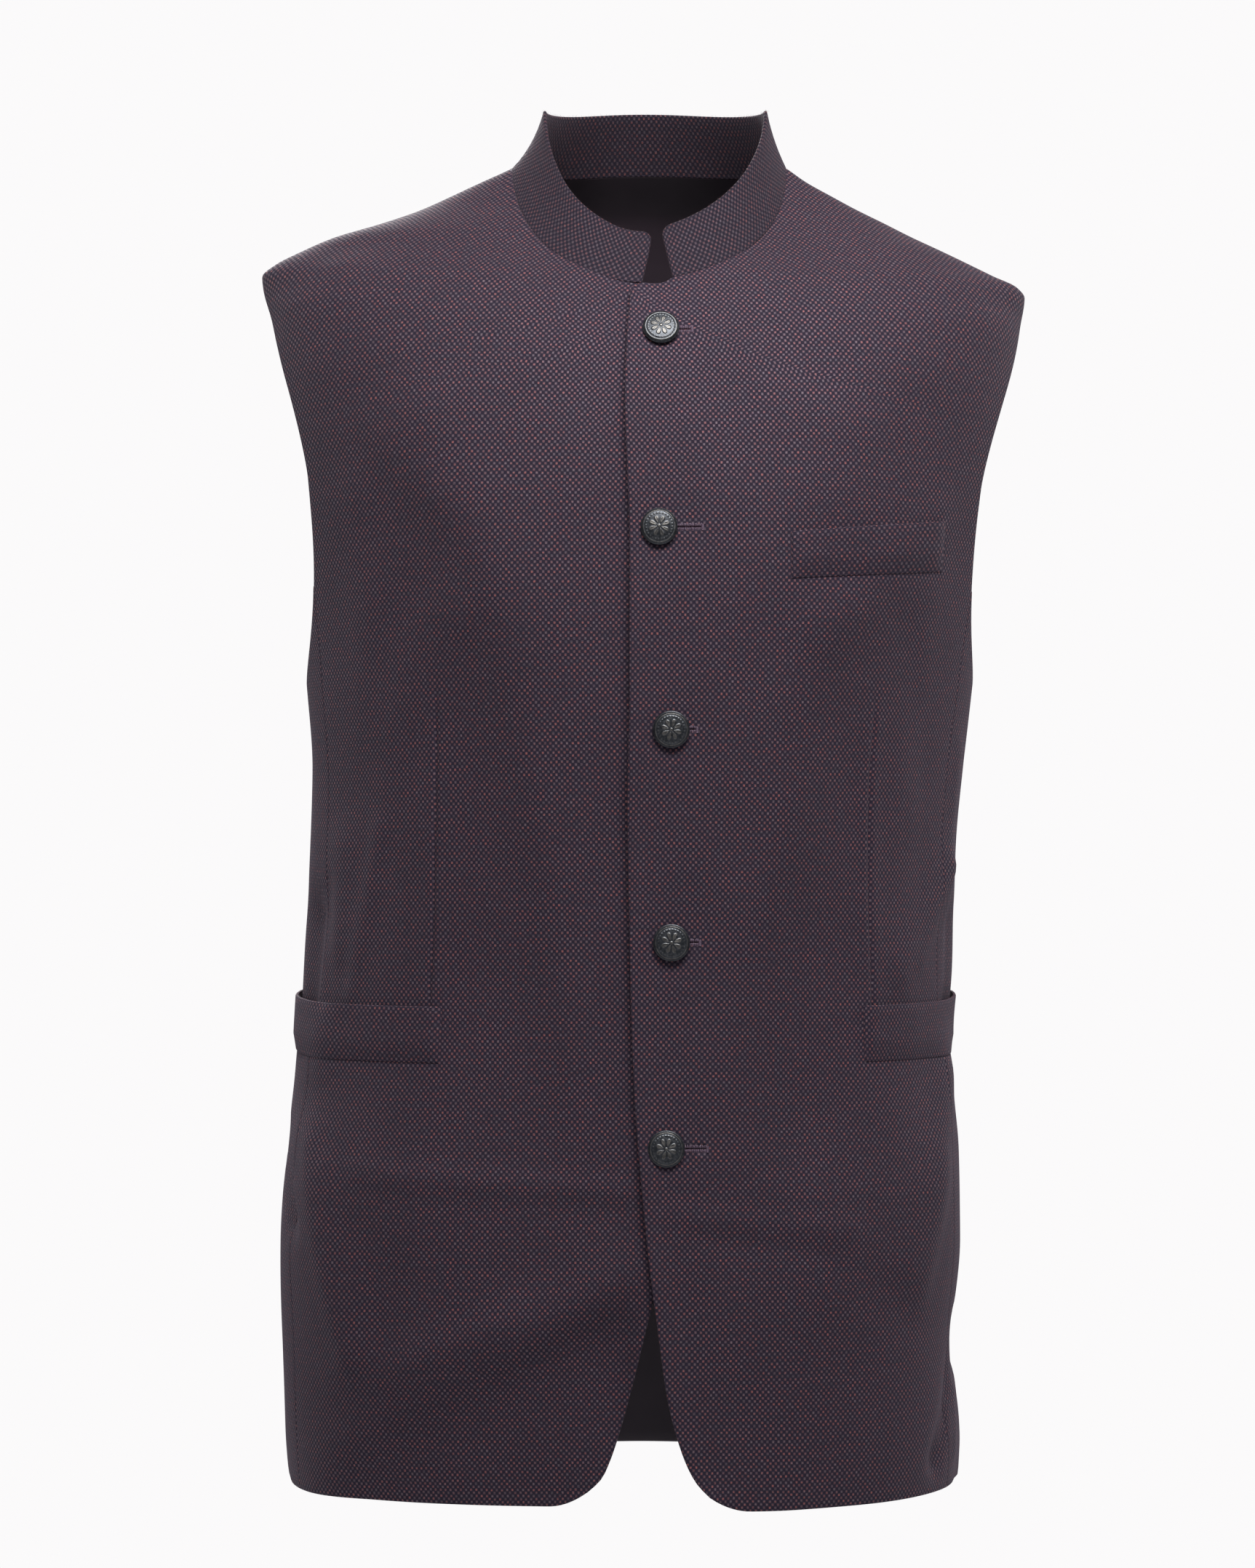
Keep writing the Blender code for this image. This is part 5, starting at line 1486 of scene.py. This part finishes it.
def birdseye_wool(name, brightness):
    """Dark plum wool with small rust and grey dots, offset from row to row."""
    material, tree, shader = new_material(name)
    places = node(tree, "ShaderNodeUVMap", uv_map="weave").outputs[0]
    wobble = node(tree, "ShaderNodeTexNoise", {"Vector": places, "Scale": WANDER_SCALE, "Detail": 2.0})
    shift = node(tree, "ShaderNodeVectorMath", {0: wobble.outputs["Color"], 1: (0.5, 0.5, 0.5)},
                 operation="SUBTRACT").outputs[0]
    shift = scaled(tree, shift, WANDER)
    woven = node(tree, "ShaderNodeVectorMath", {0: places, 1: shift}, operation="ADD").outputs[0]
    split = node(tree, "ShaderNodeSeparateXYZ", {0: woven})
    across = calc(tree, "COSINE", calc(tree, "MULTIPLY", split.outputs[0], FULL_TURN / REPEAT_ACROSS))
    upward = calc(tree, "COSINE", calc(tree, "MULTIPLY", split.outputs[1], FULL_TURN / REPEAT_UP))
    fluff = noise(tree, woven, FLUFF_SCALE, 2.0, 0.6)
    lattice = calc(tree, "MULTIPLY_ADD", calc(tree, "SUBTRACT", fluff, 0.5), FLUFF,
                   calc(tree, "MULTIPLY", across, upward))
    cell = ramp(tree, lattice, *CELL_STEP)
    core = ramp(tree, lattice, *CORE_STEP)
    each = noise(tree, woven, DOT_SCALE, 1.0, 0.5)
    yarn = noise(tree, stretched(tree, woven, *YARN_STRETCH), 1.0, 2.0, 0.6)
    strength = calc(tree, "MULTIPLY", ramp(tree, each, 0.30, 0.66, 0.30, 1.0),
                    ramp(tree, yarn, 0.30, 0.70, 0.65, 1.10))
    hue = ramp(tree, noise(tree, stretched(tree, woven, *HUE_STRETCH), 1.0, 1.0, 0.5), *HUE_STEP)
    dots = blend(tree, hue, RUST_DOT, MAUVE_DOT)
    cells = blend(tree, ramp(tree, yarn, 0.30, 0.70), SLATE_CELL, PLUM_CELL)
    ground = blend(tree, cell, DARK_GROUND, cells)
    colour = blend(tree, calc(tree, "MULTIPLY", core, strength), ground, dots)
    cloudy = ramp(tree, noise(tree, places, CLOUD_SCALE, 2.0, 0.5), 0.30, 0.70,
                  brightness * 0.95, brightness * 1.05)
    relief_height = calc(tree, "MULTIPLY_ADD", cell, 0.7, calc(tree, "MULTIPLY", fluff, 0.5))
    give(tree, shader, {
        "Base Color": scaled(tree, colour, cloudy),
        "Roughness": ramp(tree, lattice, *GLOSS_STEP, *WOOL_ROUGHNESS),
        "Specular IOR Level": WOOL_SPECULAR, "Specular Tint": WOOL_TINT,
        "Sheen Weight": WOOL_SHEEN, "Sheen Roughness": WOOL_SHEEN_ROUGHNESS,
        "Sheen Tint": WOOL_SHEEN_TINT, "Normal": bumped(tree, relief_height, 0.85, WOOL_RELIEF)})
    return material


def plain_lining(name):
    """The plain inside of the jacket, a dark lining with a fine twill."""
    material, tree, shader = new_material(name)
    places = node(tree, "ShaderNodeUVMap", uv_map="weave").outputs[0]
    split = node(tree, "ShaderNodeSeparateXYZ", {0: places})
    slant = calc(tree, "ADD", split.outputs[0], split.outputs[1])
    twill = calc(tree, "SINE", calc(tree, "MULTIPLY", slant, FULL_TURN / TWILL_SPACING))
    cloud = noise(tree, places, 24.0, 3.0, 0.55)
    give(tree, shader, {
        "Base Color": blend(tree, ramp(tree, cloud, 0.3, 0.7), *LINING_COLOURS), "Roughness": 0.48,
        "Specular IOR Level": 0.38, "Normal": bumped(tree, twill, 0.35, 0.00005)})
    return material


def buttonhole_thread(name, colour):
    """Twisted plum thread with a soft gloss."""
    material, tree, shader = new_material(name)
    spot = node(tree, "ShaderNodeNewGeometry").outputs["Position"]
    strand = noise(tree, spot, 2400.0, 2.0, 0.6)
    dark = tuple(THREAD_SHADE * c for c in colour)
    give(tree, shader, {
        "Base Color": blend(tree, ramp(tree, strand, 0.3, 0.7), (*dark, 1.0), (*colour, 1.0)),
        "Roughness": 0.42, "Specular IOR Level": 0.5, "Normal": bumped(tree, strand, 0.5, 0.00008)})
    return material


def button_metal(name):
    """Dark plated metal, worn lighter on the raised design and duller in the hollows."""
    material, tree, shader = new_material(name)
    raised = node(tree, "ShaderNodeAttribute", attribute_name="relief").outputs["Fac"]
    spot = node(tree, "ShaderNodeNewGeometry").outputs["Position"]
    patina = noise(tree, spot, 700.0, 4.0, 0.6)
    scuffs = noise(tree, spot, 3200.0, 2.0, 0.6)
    worn = calc(tree, "MULTIPLY", ramp(tree, raised, 0.25, 1.0), ramp(tree, patina, 0.30, 0.65, 0.35, 1.0))
    plate = blend(tree, ramp(tree, patina, 0.35, 0.70), *PLATE_COLOURS)
    give(tree, shader, {
        "Base Color": blend(tree, worn, plate, WORN_METAL), "Metallic": METAL_SHARE,
        "Roughness": ramp(tree, patina, 0.3, 0.7, *METAL_ROUGHNESS),
        "Normal": bumped(tree, scuffs, 0.25, 0.00003)})
    return material


def studio_floor(name):
    material, tree, shader = new_material(name)
    spot = node(tree, "ShaderNodeNewGeometry").outputs["Position"]
    cloud = noise(tree, spot, 1.2, 2.0, 0.5)
    give(tree, shader, {"Base Color": blend(tree, cloud, *FLOOR_COLOURS), "Roughness": 0.9})
    return material


def open_group(name, entries):
    """A new node group that changes geometry, and the sockets of its named inputs."""
    tree = bpy.data.node_groups.new(name, "GeometryNodeTree")
    for label, kind, default in (("Geometry", "NodeSocketGeometry", None), *entries):
        socket = tree.interface.new_socket(label, in_out="INPUT", socket_type=kind)
        if default is not None:
            socket.default_value = default
    tree.interface.new_socket("Geometry", in_out="OUTPUT", socket_type="NodeSocketGeometry")
    return tree, tree.nodes.new("NodeGroupInput").outputs


def close_group(tree, geometry, material, softly_shaded):
    """Ends a node group: its copies made real, and their material set."""
    real = node(tree, "GeometryNodeRealizeInstances", {"Geometry": geometry})
    if softly_shaded:
        real = node(tree, "GeometryNodeSetShadeSmooth", {"Geometry": real.outputs[0]})
    done = node(tree, "GeometryNodeSetMaterial", {"Geometry": real.outputs[0], "Material": material})
    tree.links.new(done.outputs[0], tree.nodes.new("NodeGroupOutput").inputs[0])
    return tree


def varied(tree, seed, low, high, offset, kind="FLOAT"):
    """A number or a vector that differs from copy to copy, between two limits."""
    made = node(tree, "FunctionNodeRandomValue", data_type=kind)
    least, most, result = RANDOM_SOCKETS[kind]
    for socket in made.inputs:
        if socket.identifier in (least, most):
            socket.default_value = low if socket.identifier == least else high
        if socket.identifier == "Seed":
            tree.links.new(calc(tree, "ADD", seed, offset), socket)
    return next(s for s in made.outputs if s.identifier == result)


def bent_thread(tree, ring, resolution, start, middle, end, closed=True):
    """A thread that bends from its start to its end, with a ring as its section."""
    curve = node(tree, "GeometryNodeCurveQuadraticBezier",
                 {"Resolution": resolution, "Start": start, "Middle": middle, "End": end})
    thread = node(tree, "GeometryNodeCurveToMesh",
                  {"Curve": curve.outputs[0], "Profile Curve": ring.outputs[0], "Fill Caps": closed})
    return thread.outputs[0]


def purl_group():
    """Geometry nodes for a worked buttonhole, flat, with its outer end at the origin."""
    tree, given = open_group("worked_buttonhole", (
        ("Hole length", "NodeSocketFloat", HOLE_LENGTH), ("Spacing", "NodeSocketFloat", PURL_SPACING),
        ("Stitch length", "NodeSocketFloat", PURL_LENGTH), ("Rise", "NodeSocketFloat", PURL_RISE),
        ("Thread radius", "NodeSocketFloat", PURL_RADIUS), ("Lip gap", "NodeSocketFloat", LIP_GAP),
        ("Bar height", "NodeSocketFloat", BAR_HEIGHT), ("Bar width", "NodeSocketFloat", BAR_WIDTH),
        ("Seed", "NodeSocketInt", 1), ("Thread", "NodeSocketMaterial", None)))

    def vector(x=0.0, y=0.0, z=0.0):
        return node(tree, "ShaderNodeCombineXYZ", {0: x, 1: y, 2: z}).outputs[0]

    def times(name, factor):
        return calc(tree, "MULTIPLY", given[name], factor)

    def any_of(low, high, offset):
        return varied(tree, given["Seed"], low, high, offset)

    ring = node(tree, "GeometryNodeCurvePrimitiveCircle",
                {"Resolution": THREAD_SIDES, "Radius": given["Thread radius"]})
    rows = []
    for side, offset in STITCH_ROWS:
        low = times("Lip gap", side)
        high = calc(tree, "ADD", low, times("Stitch length", side))
        middle = calc(tree, "MULTIPLY", calc(tree, "ADD", low, high), STITCH_CROWN)
        stitch = bent_thread(tree, ring, STITCH_STEPS, vector(0.0, low, STITCH_START_SINK),
                             vector(0.0, middle, given["Rise"]), vector(0.0, high, STITCH_END_SINK))
        places = node(tree, "GeometryNodeMeshLine", {
            "Count": calc(tree, "DIVIDE", given["Hole length"], given["Spacing"]),
            "Start Location": vector(times("Bar width", BAR_CLEARANCE)),
            "Offset": vector(times("Spacing", -1.0))})
        rows.append(node(tree, "GeometryNodeInstanceOnPoints", {
            "Points": places.outputs[0], "Instance": stitch,
            "Rotation": vector(0.0, 0.0, any_of(-STITCH_TURN, STITCH_TURN, offset)),
            "Scale": vector(*(any_of(*limits, offset + k)
                              for k, limits in enumerate(STITCH_SIZES, start=1)))}))
    half = times("Bar width", 0.5)
    bar = bent_thread(tree, ring, BAR_STEPS,
                      vector(calc(tree, "MULTIPLY", half, -1.0), 0.0, STITCH_END_SINK),
                      vector(0.0, 0.0, times("Rise", BAR_RISE)), vector(half, 0.0, STITCH_END_SINK))
    step = times("Thread radius", BAR_PACKING)
    places = node(tree, "GeometryNodeMeshLine", {
        "Count": calc(tree, "DIVIDE", given["Bar height"], step),
        "Start Location": vector(0.0, times("Bar height", -0.5)), "Offset": vector(0.0, step)})
    rows.append(node(tree, "GeometryNodeInstanceOnPoints", {
        "Points": places.outputs[0], "Instance": bar,
        "Rotation": vector(0.0, 0.0, any_of(-BAR_TURN, BAR_TURN, BAR_SEED))}))
    join = node(tree, "GeometryNodeJoinGeometry")
    for row in rows:
        tree.links.new(row.outputs[0], join.inputs[0])
    return close_group(tree, join.outputs[0], given["Thread"], True)


def fibre_group():
    """Geometry nodes for loose fibres standing on a strip of cloth edge."""
    tree, given = open_group("loose_fibres", (
        ("Density", "NodeSocketFloat", 1.0), ("Length", "NodeSocketFloat", FIBRE_LENGTH),
        ("Thickness", "NodeSocketFloat", FIBRE_RADIUS), ("Seed", "NodeSocketInt", 1),
        ("Fibre", "NodeSocketMaterial", None)))
    points = node(tree, "GeometryNodeDistributePointsOnFaces",
                  {"Mesh": given["Geometry"], "Density": given["Density"], "Seed": given["Seed"]})
    bend = calc(tree, "MULTIPLY", given["Length"], FIBRE_BEND)
    reach = calc(tree, "MULTIPLY", given["Length"], FIBRE_REACH)
    middle = node(tree, "ShaderNodeCombineXYZ", {0: 0.0, 2: bend}).outputs[0]
    tip = node(tree, "ShaderNodeCombineXYZ", {0: bend, 1: 0.0, 2: reach}).outputs[0]
    ring = node(tree, "GeometryNodeCurvePrimitiveCircle",
                {"Resolution": FIBRE_SIDES, "Radius": given["Thickness"]})
    fibre = bent_thread(tree, ring, FIBRE_STEPS, (0.0, 0.0, FIBRE_ROOT), middle, tip, closed=False)
    turn = varied(tree, given["Seed"], (-FIBRE_LEAN, -FIBRE_LEAN, -FIBRE_TURN),
                  (FIBRE_LEAN, FIBRE_LEAN, FIBRE_TURN), 5, "FLOAT_VECTOR")
    turned = node(tree, "FunctionNodeRotateEuler",
                  {"Rotation": points.outputs["Rotation"], "Rotate By": turn}, space="LOCAL")
    placed = node(tree, "GeometryNodeInstanceOnPoints", {
        "Points": points.outputs["Points"], "Instance": fibre, "Rotation": turned.outputs[0],
        "Scale": varied(tree, given["Seed"], FIBRE_SHORTEST, 1.0, 9)})
    return close_group(tree, placed.outputs[0], given["Fibre"], False)


def grown(name, source, tree, values):
    """The mesh that geometry nodes make from a source mesh, as a plain piece."""
    start = linked(name + "_start", source)
    growth = start.modifiers.new("Growth", "NODES")
    growth.node_group = tree
    for item in tree.interface.items_tree:
        if item.item_type == "SOCKET" and item.in_out == "INPUT" and item.name in values:
            growth[item.identifier] = values[item.name]
    start.update_tag()
    bpy.context.view_layer.update()
    shape = start.evaluated_get(bpy.context.evaluated_depsgraph_get())
    mesh = bpy.data.meshes.new_from_object(shape)
    mesh.name = name
    bpy.data.objects.remove(start)
    return new_piece(name, mesh, [])


def add_buttonhole(number, across, height, hole_end, tree, thread):
    """A worked buttonhole bent onto the left front."""
    seed = bpy.data.meshes.new("hole_start")
    seed.from_pydata([(0, 0, 0)], [], [])
    piece = grown("buttonhole_%d" % number, seed, tree, {
        "Hole length": HOLE_LENGTH, "Spacing": PURL_SPACING, "Stitch length": PURL_LENGTH,
        "Rise": PURL_RISE, "Thread radius": PURL_RADIUS, "Lip gap": LIP_GAP, "Bar height": BAR_HEIGHT,
        "Bar width": BAR_WIDTH, "Seed": FIRST_HOLE_SEED + number, "Thread": thread})
    flat = np.empty(3 * len(piece.data.vertices))
    piece.data.vertices.foreach_get("co", flat)
    flat = flat.reshape(-1, 3)
    heights = height + flat[:, 1]
    angle = angle_at_across(across + hole_end + flat[:, 0], heights)
    base = form_point(angle, heights)
    lift = cloth_lift(angle, heights) + lap("left", base[..., 0], heights) + flat[:, 2] + PURL_LIFT
    bent = base + lift[:, None] * form_normal(angle, heights)
    piece.data.vertices.foreach_set("co", bent.reshape(-1))
    piece.data.update()
    return piece


def cut_slits(front, rows):
    """Cuts the buttonholes' slits through the left front."""
    for row in rows:
        frame = button_frame(*button_place(row["across"], row["height"]))
        shape = bmesh.new()
        bmesh.ops.create_cube(shape, size=1.0)
        bmesh.ops.scale(shape, verts=shape.verts, vec=(HOLE_LENGTH - SLIT_SHORTER, SLIT_WIDTH, CUT_DEPTH))
        bmesh.ops.translate(shape, verts=shape.verts, vec=(row["hole_end"] - HOLE_LENGTH / 2, 0.0, 0.0))
        bmesh.ops.transform(shape, matrix=frame, verts=shape.verts)
        mesh = bpy.data.meshes.new("slit")
        shape.to_mesh(mesh)
        shape.free()
        slit = linked("slit", mesh)
        boolean = front.modifiers.new("Slit", "BOOLEAN")
        boolean.operation = "DIFFERENCE"
        boolean.solver = "EXACT"
        boolean.object = slit
        bpy.context.view_layer.update()
        whole = front.evaluated_get(bpy.context.evaluated_depsgraph_get())
        done = bpy.data.meshes.new_from_object(whole)
        front.modifiers.remove(boolean)
        front.data = done
        bpy.data.objects.remove(slit)


def add_fibres(collar, tree, fibre):
    """Loose fibres along the collar's top edge."""
    rows = shares(COLLAR_RISE_FRONT, FREE_ROLL)
    columns = len(collar.data.vertices) // (2 * len(rows))
    points = np.empty(3 * len(collar.data.vertices))
    collar.data.vertices.foreach_get("co", points)
    outer = points.reshape(2, len(rows), columns, 3)[0]
    top = outer[-FIBRE_EDGE_LINES:]
    strip = bpy.data.meshes.new("edge_strip")
    strip.from_pydata(top.reshape(-1, 3).tolist(), [], grid_faces(len(top), columns)[1].tolist())
    strip.update()
    density = 1.0 / (FIBRE_SPACING * FREE_ROLL * FIBRE_EDGE_WIDTH)
    return grown("collar_edge_fibres", strip, tree, {
        "Density": density, "Length": FIBRE_LENGTH, "Thickness": FIBRE_RADIUS, "Seed": FIBRE_SEED,
        "Fibre": fibre})


def add_camera():
    view = bpy.data.cameras.new("photo_camera")
    view.sensor_width = CAMERA_FRAME
    view.lens = FOCAL_PIXELS / IMAGE_HEIGHT * CAMERA_FRAME
    view.clip_start = CLIP_NEAR
    view.clip_end = CLIP_FAR
    camera = linked("photo_camera", view)
    camera.location = CAMERA_PLACE
    camera.rotation_euler = (math.radians(90), 0.0, 0.0)
    bpy.context.scene.camera = camera


def add_light(name, place, aim, size, power, colour):
    lamp = bpy.data.lights.new(name, "AREA")
    lamp.shape = "RECTANGLE"
    lamp.size, lamp.size_y = size
    lamp.energy = power
    lamp.color = colour
    light = linked(name, lamp)
    light.location = place
    direction = Vector(aim) - Vector(place)
    light.rotation_euler = direction.to_track_quat("-Z", "Y").to_euler()


def add_studio():
    """A pale floor well below the hem, a pale surround and soft lights."""
    mesh = bpy.data.meshes.new("studio_floor")
    shape = bmesh.new()
    bmesh.ops.create_circle(shape, cap_ends=True, segments=FLOOR_SIDES, radius=FLOOR_RADIUS)
    bmesh.ops.translate(shape, verts=shape.verts, vec=(0.0, 0.0, FLOOR_HEIGHT))
    shape.to_mesh(mesh)
    shape.free()
    floor = new_piece("studio_floor", mesh, [studio_floor("pale_studio_floor")])
    world = bpy.data.worlds.new("pale_studio")
    world.use_nodes = True
    tree = world.node_tree
    upward = node(tree, "ShaderNodeSeparateXYZ", {0: node(tree, "ShaderNodeTexCoord").outputs["Generated"]})
    light = blend(tree, ramp(tree, upward.outputs[2], *LIGHT_TURN), LIGHT_FROM_BELOW, LIGHT_FROM_ABOVE)
    lit = node(tree, "ShaderNodeBackground", {"Color": light})
    seen = node(tree, "ShaderNodeBackground", {"Color": SURROUND})
    looks = node(tree, "ShaderNodeLightPath").outputs["Is Camera Ray"]
    both = node(tree, "ShaderNodeMixShader", {0: looks, 1: lit.outputs[0], 2: seen.outputs[0]})
    tree.links.new(both.outputs[0], tree.nodes["World Output"].inputs[0])
    bpy.context.scene.world = world
    for lamp in LAMPS:
        add_light(*lamp)
    scene = bpy.context.scene
    scene.view_settings.view_transform = "Standard"
    scene.view_settings.look = "None"
    scene.view_settings.exposure = 0.0
    scene.view_settings.gamma = 1.0


def declare(piece, slot, *nodes):
    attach(piece, "root")
    if nodes:
        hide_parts(*nodes)


def dress():
    """Makes every piece of the jacket, hangs it on the root body and hides the parts that it replaces."""
    wool = birdseye_wool("plum_birdseye_wool_cloth", CLOTH_BRIGHTNESS)
    welt_wool = birdseye_wool("plum_birdseye_wool_welts", WELT_BRIGHTNESS)
    # The collar's copy of the wool is darker only as painted shade
    collar_painted_shade_wool = birdseye_wool("plum_birdseye_wool_collar_painted_shade", COLLAR_SHADED_BRIGHTNESS)
    lining = plain_lining("dark_inside_lining")
    metal = button_metal("dark_plated_button_metal")
    thread = buttonhole_thread("plum_buttonhole_thread", THREAD_COLOUR)
    fibre = buttonhole_thread("loose_wool_fibre", FIBRE_COLOUR)
    rows = [dict(zip(BUTTON_COLUMNS, row)) for row in BUTTONS]

    fronts = {side: add_front(side, [wool, lining]) for side in ("left", "right")}
    cut_slits(fronts["left"], rows)
    for side, front in fronts.items():
        declare(front, "plum_birdseye_wool", "front_" + side)
    for side in ("left", "right"):
        panel = add_side(side, [wool, lining])
        declare(panel, "plum_birdseye_wool", "side_" + side)
        welt = add_hip_welt(side, [welt_wool, welt_wool])
        declare(welt, "plum_birdseye_wool_welt", "hip_welt_" + side)
    back = add_back([wool, lining])
    declare(back, "plum_birdseye_wool", "back")
    collar = add_collar([collar_painted_shade_wool, collar_painted_shade_wool])
    declare(collar, "plum_birdseye_wool", "collar")
    welt = add_breast_welt([welt_wool, welt_wool])
    declare(welt, "plum_birdseye_wool_welt", "breast_welt")
    fibres = add_fibres(collar, fibre_group(), fibre)
    declare(fibres, "plum_birdseye_wool")
    purls = purl_group()
    for number, row in enumerate(rows, start=1):
        button = add_button(number, row["across"], row["height"], row["turn"], [metal])
        declare(button, "dark_button_metal", "button_%d" % number)
        hole = add_buttonhole(number, row["across"], row["height"], row["hole_end"], purls, thread)
        declare(hole, "plum_birdseye_wool")


FRONT_LINES = {side: front_lines(side) for side in ("left", "right")}
add_camera()
dress()
add_studio()
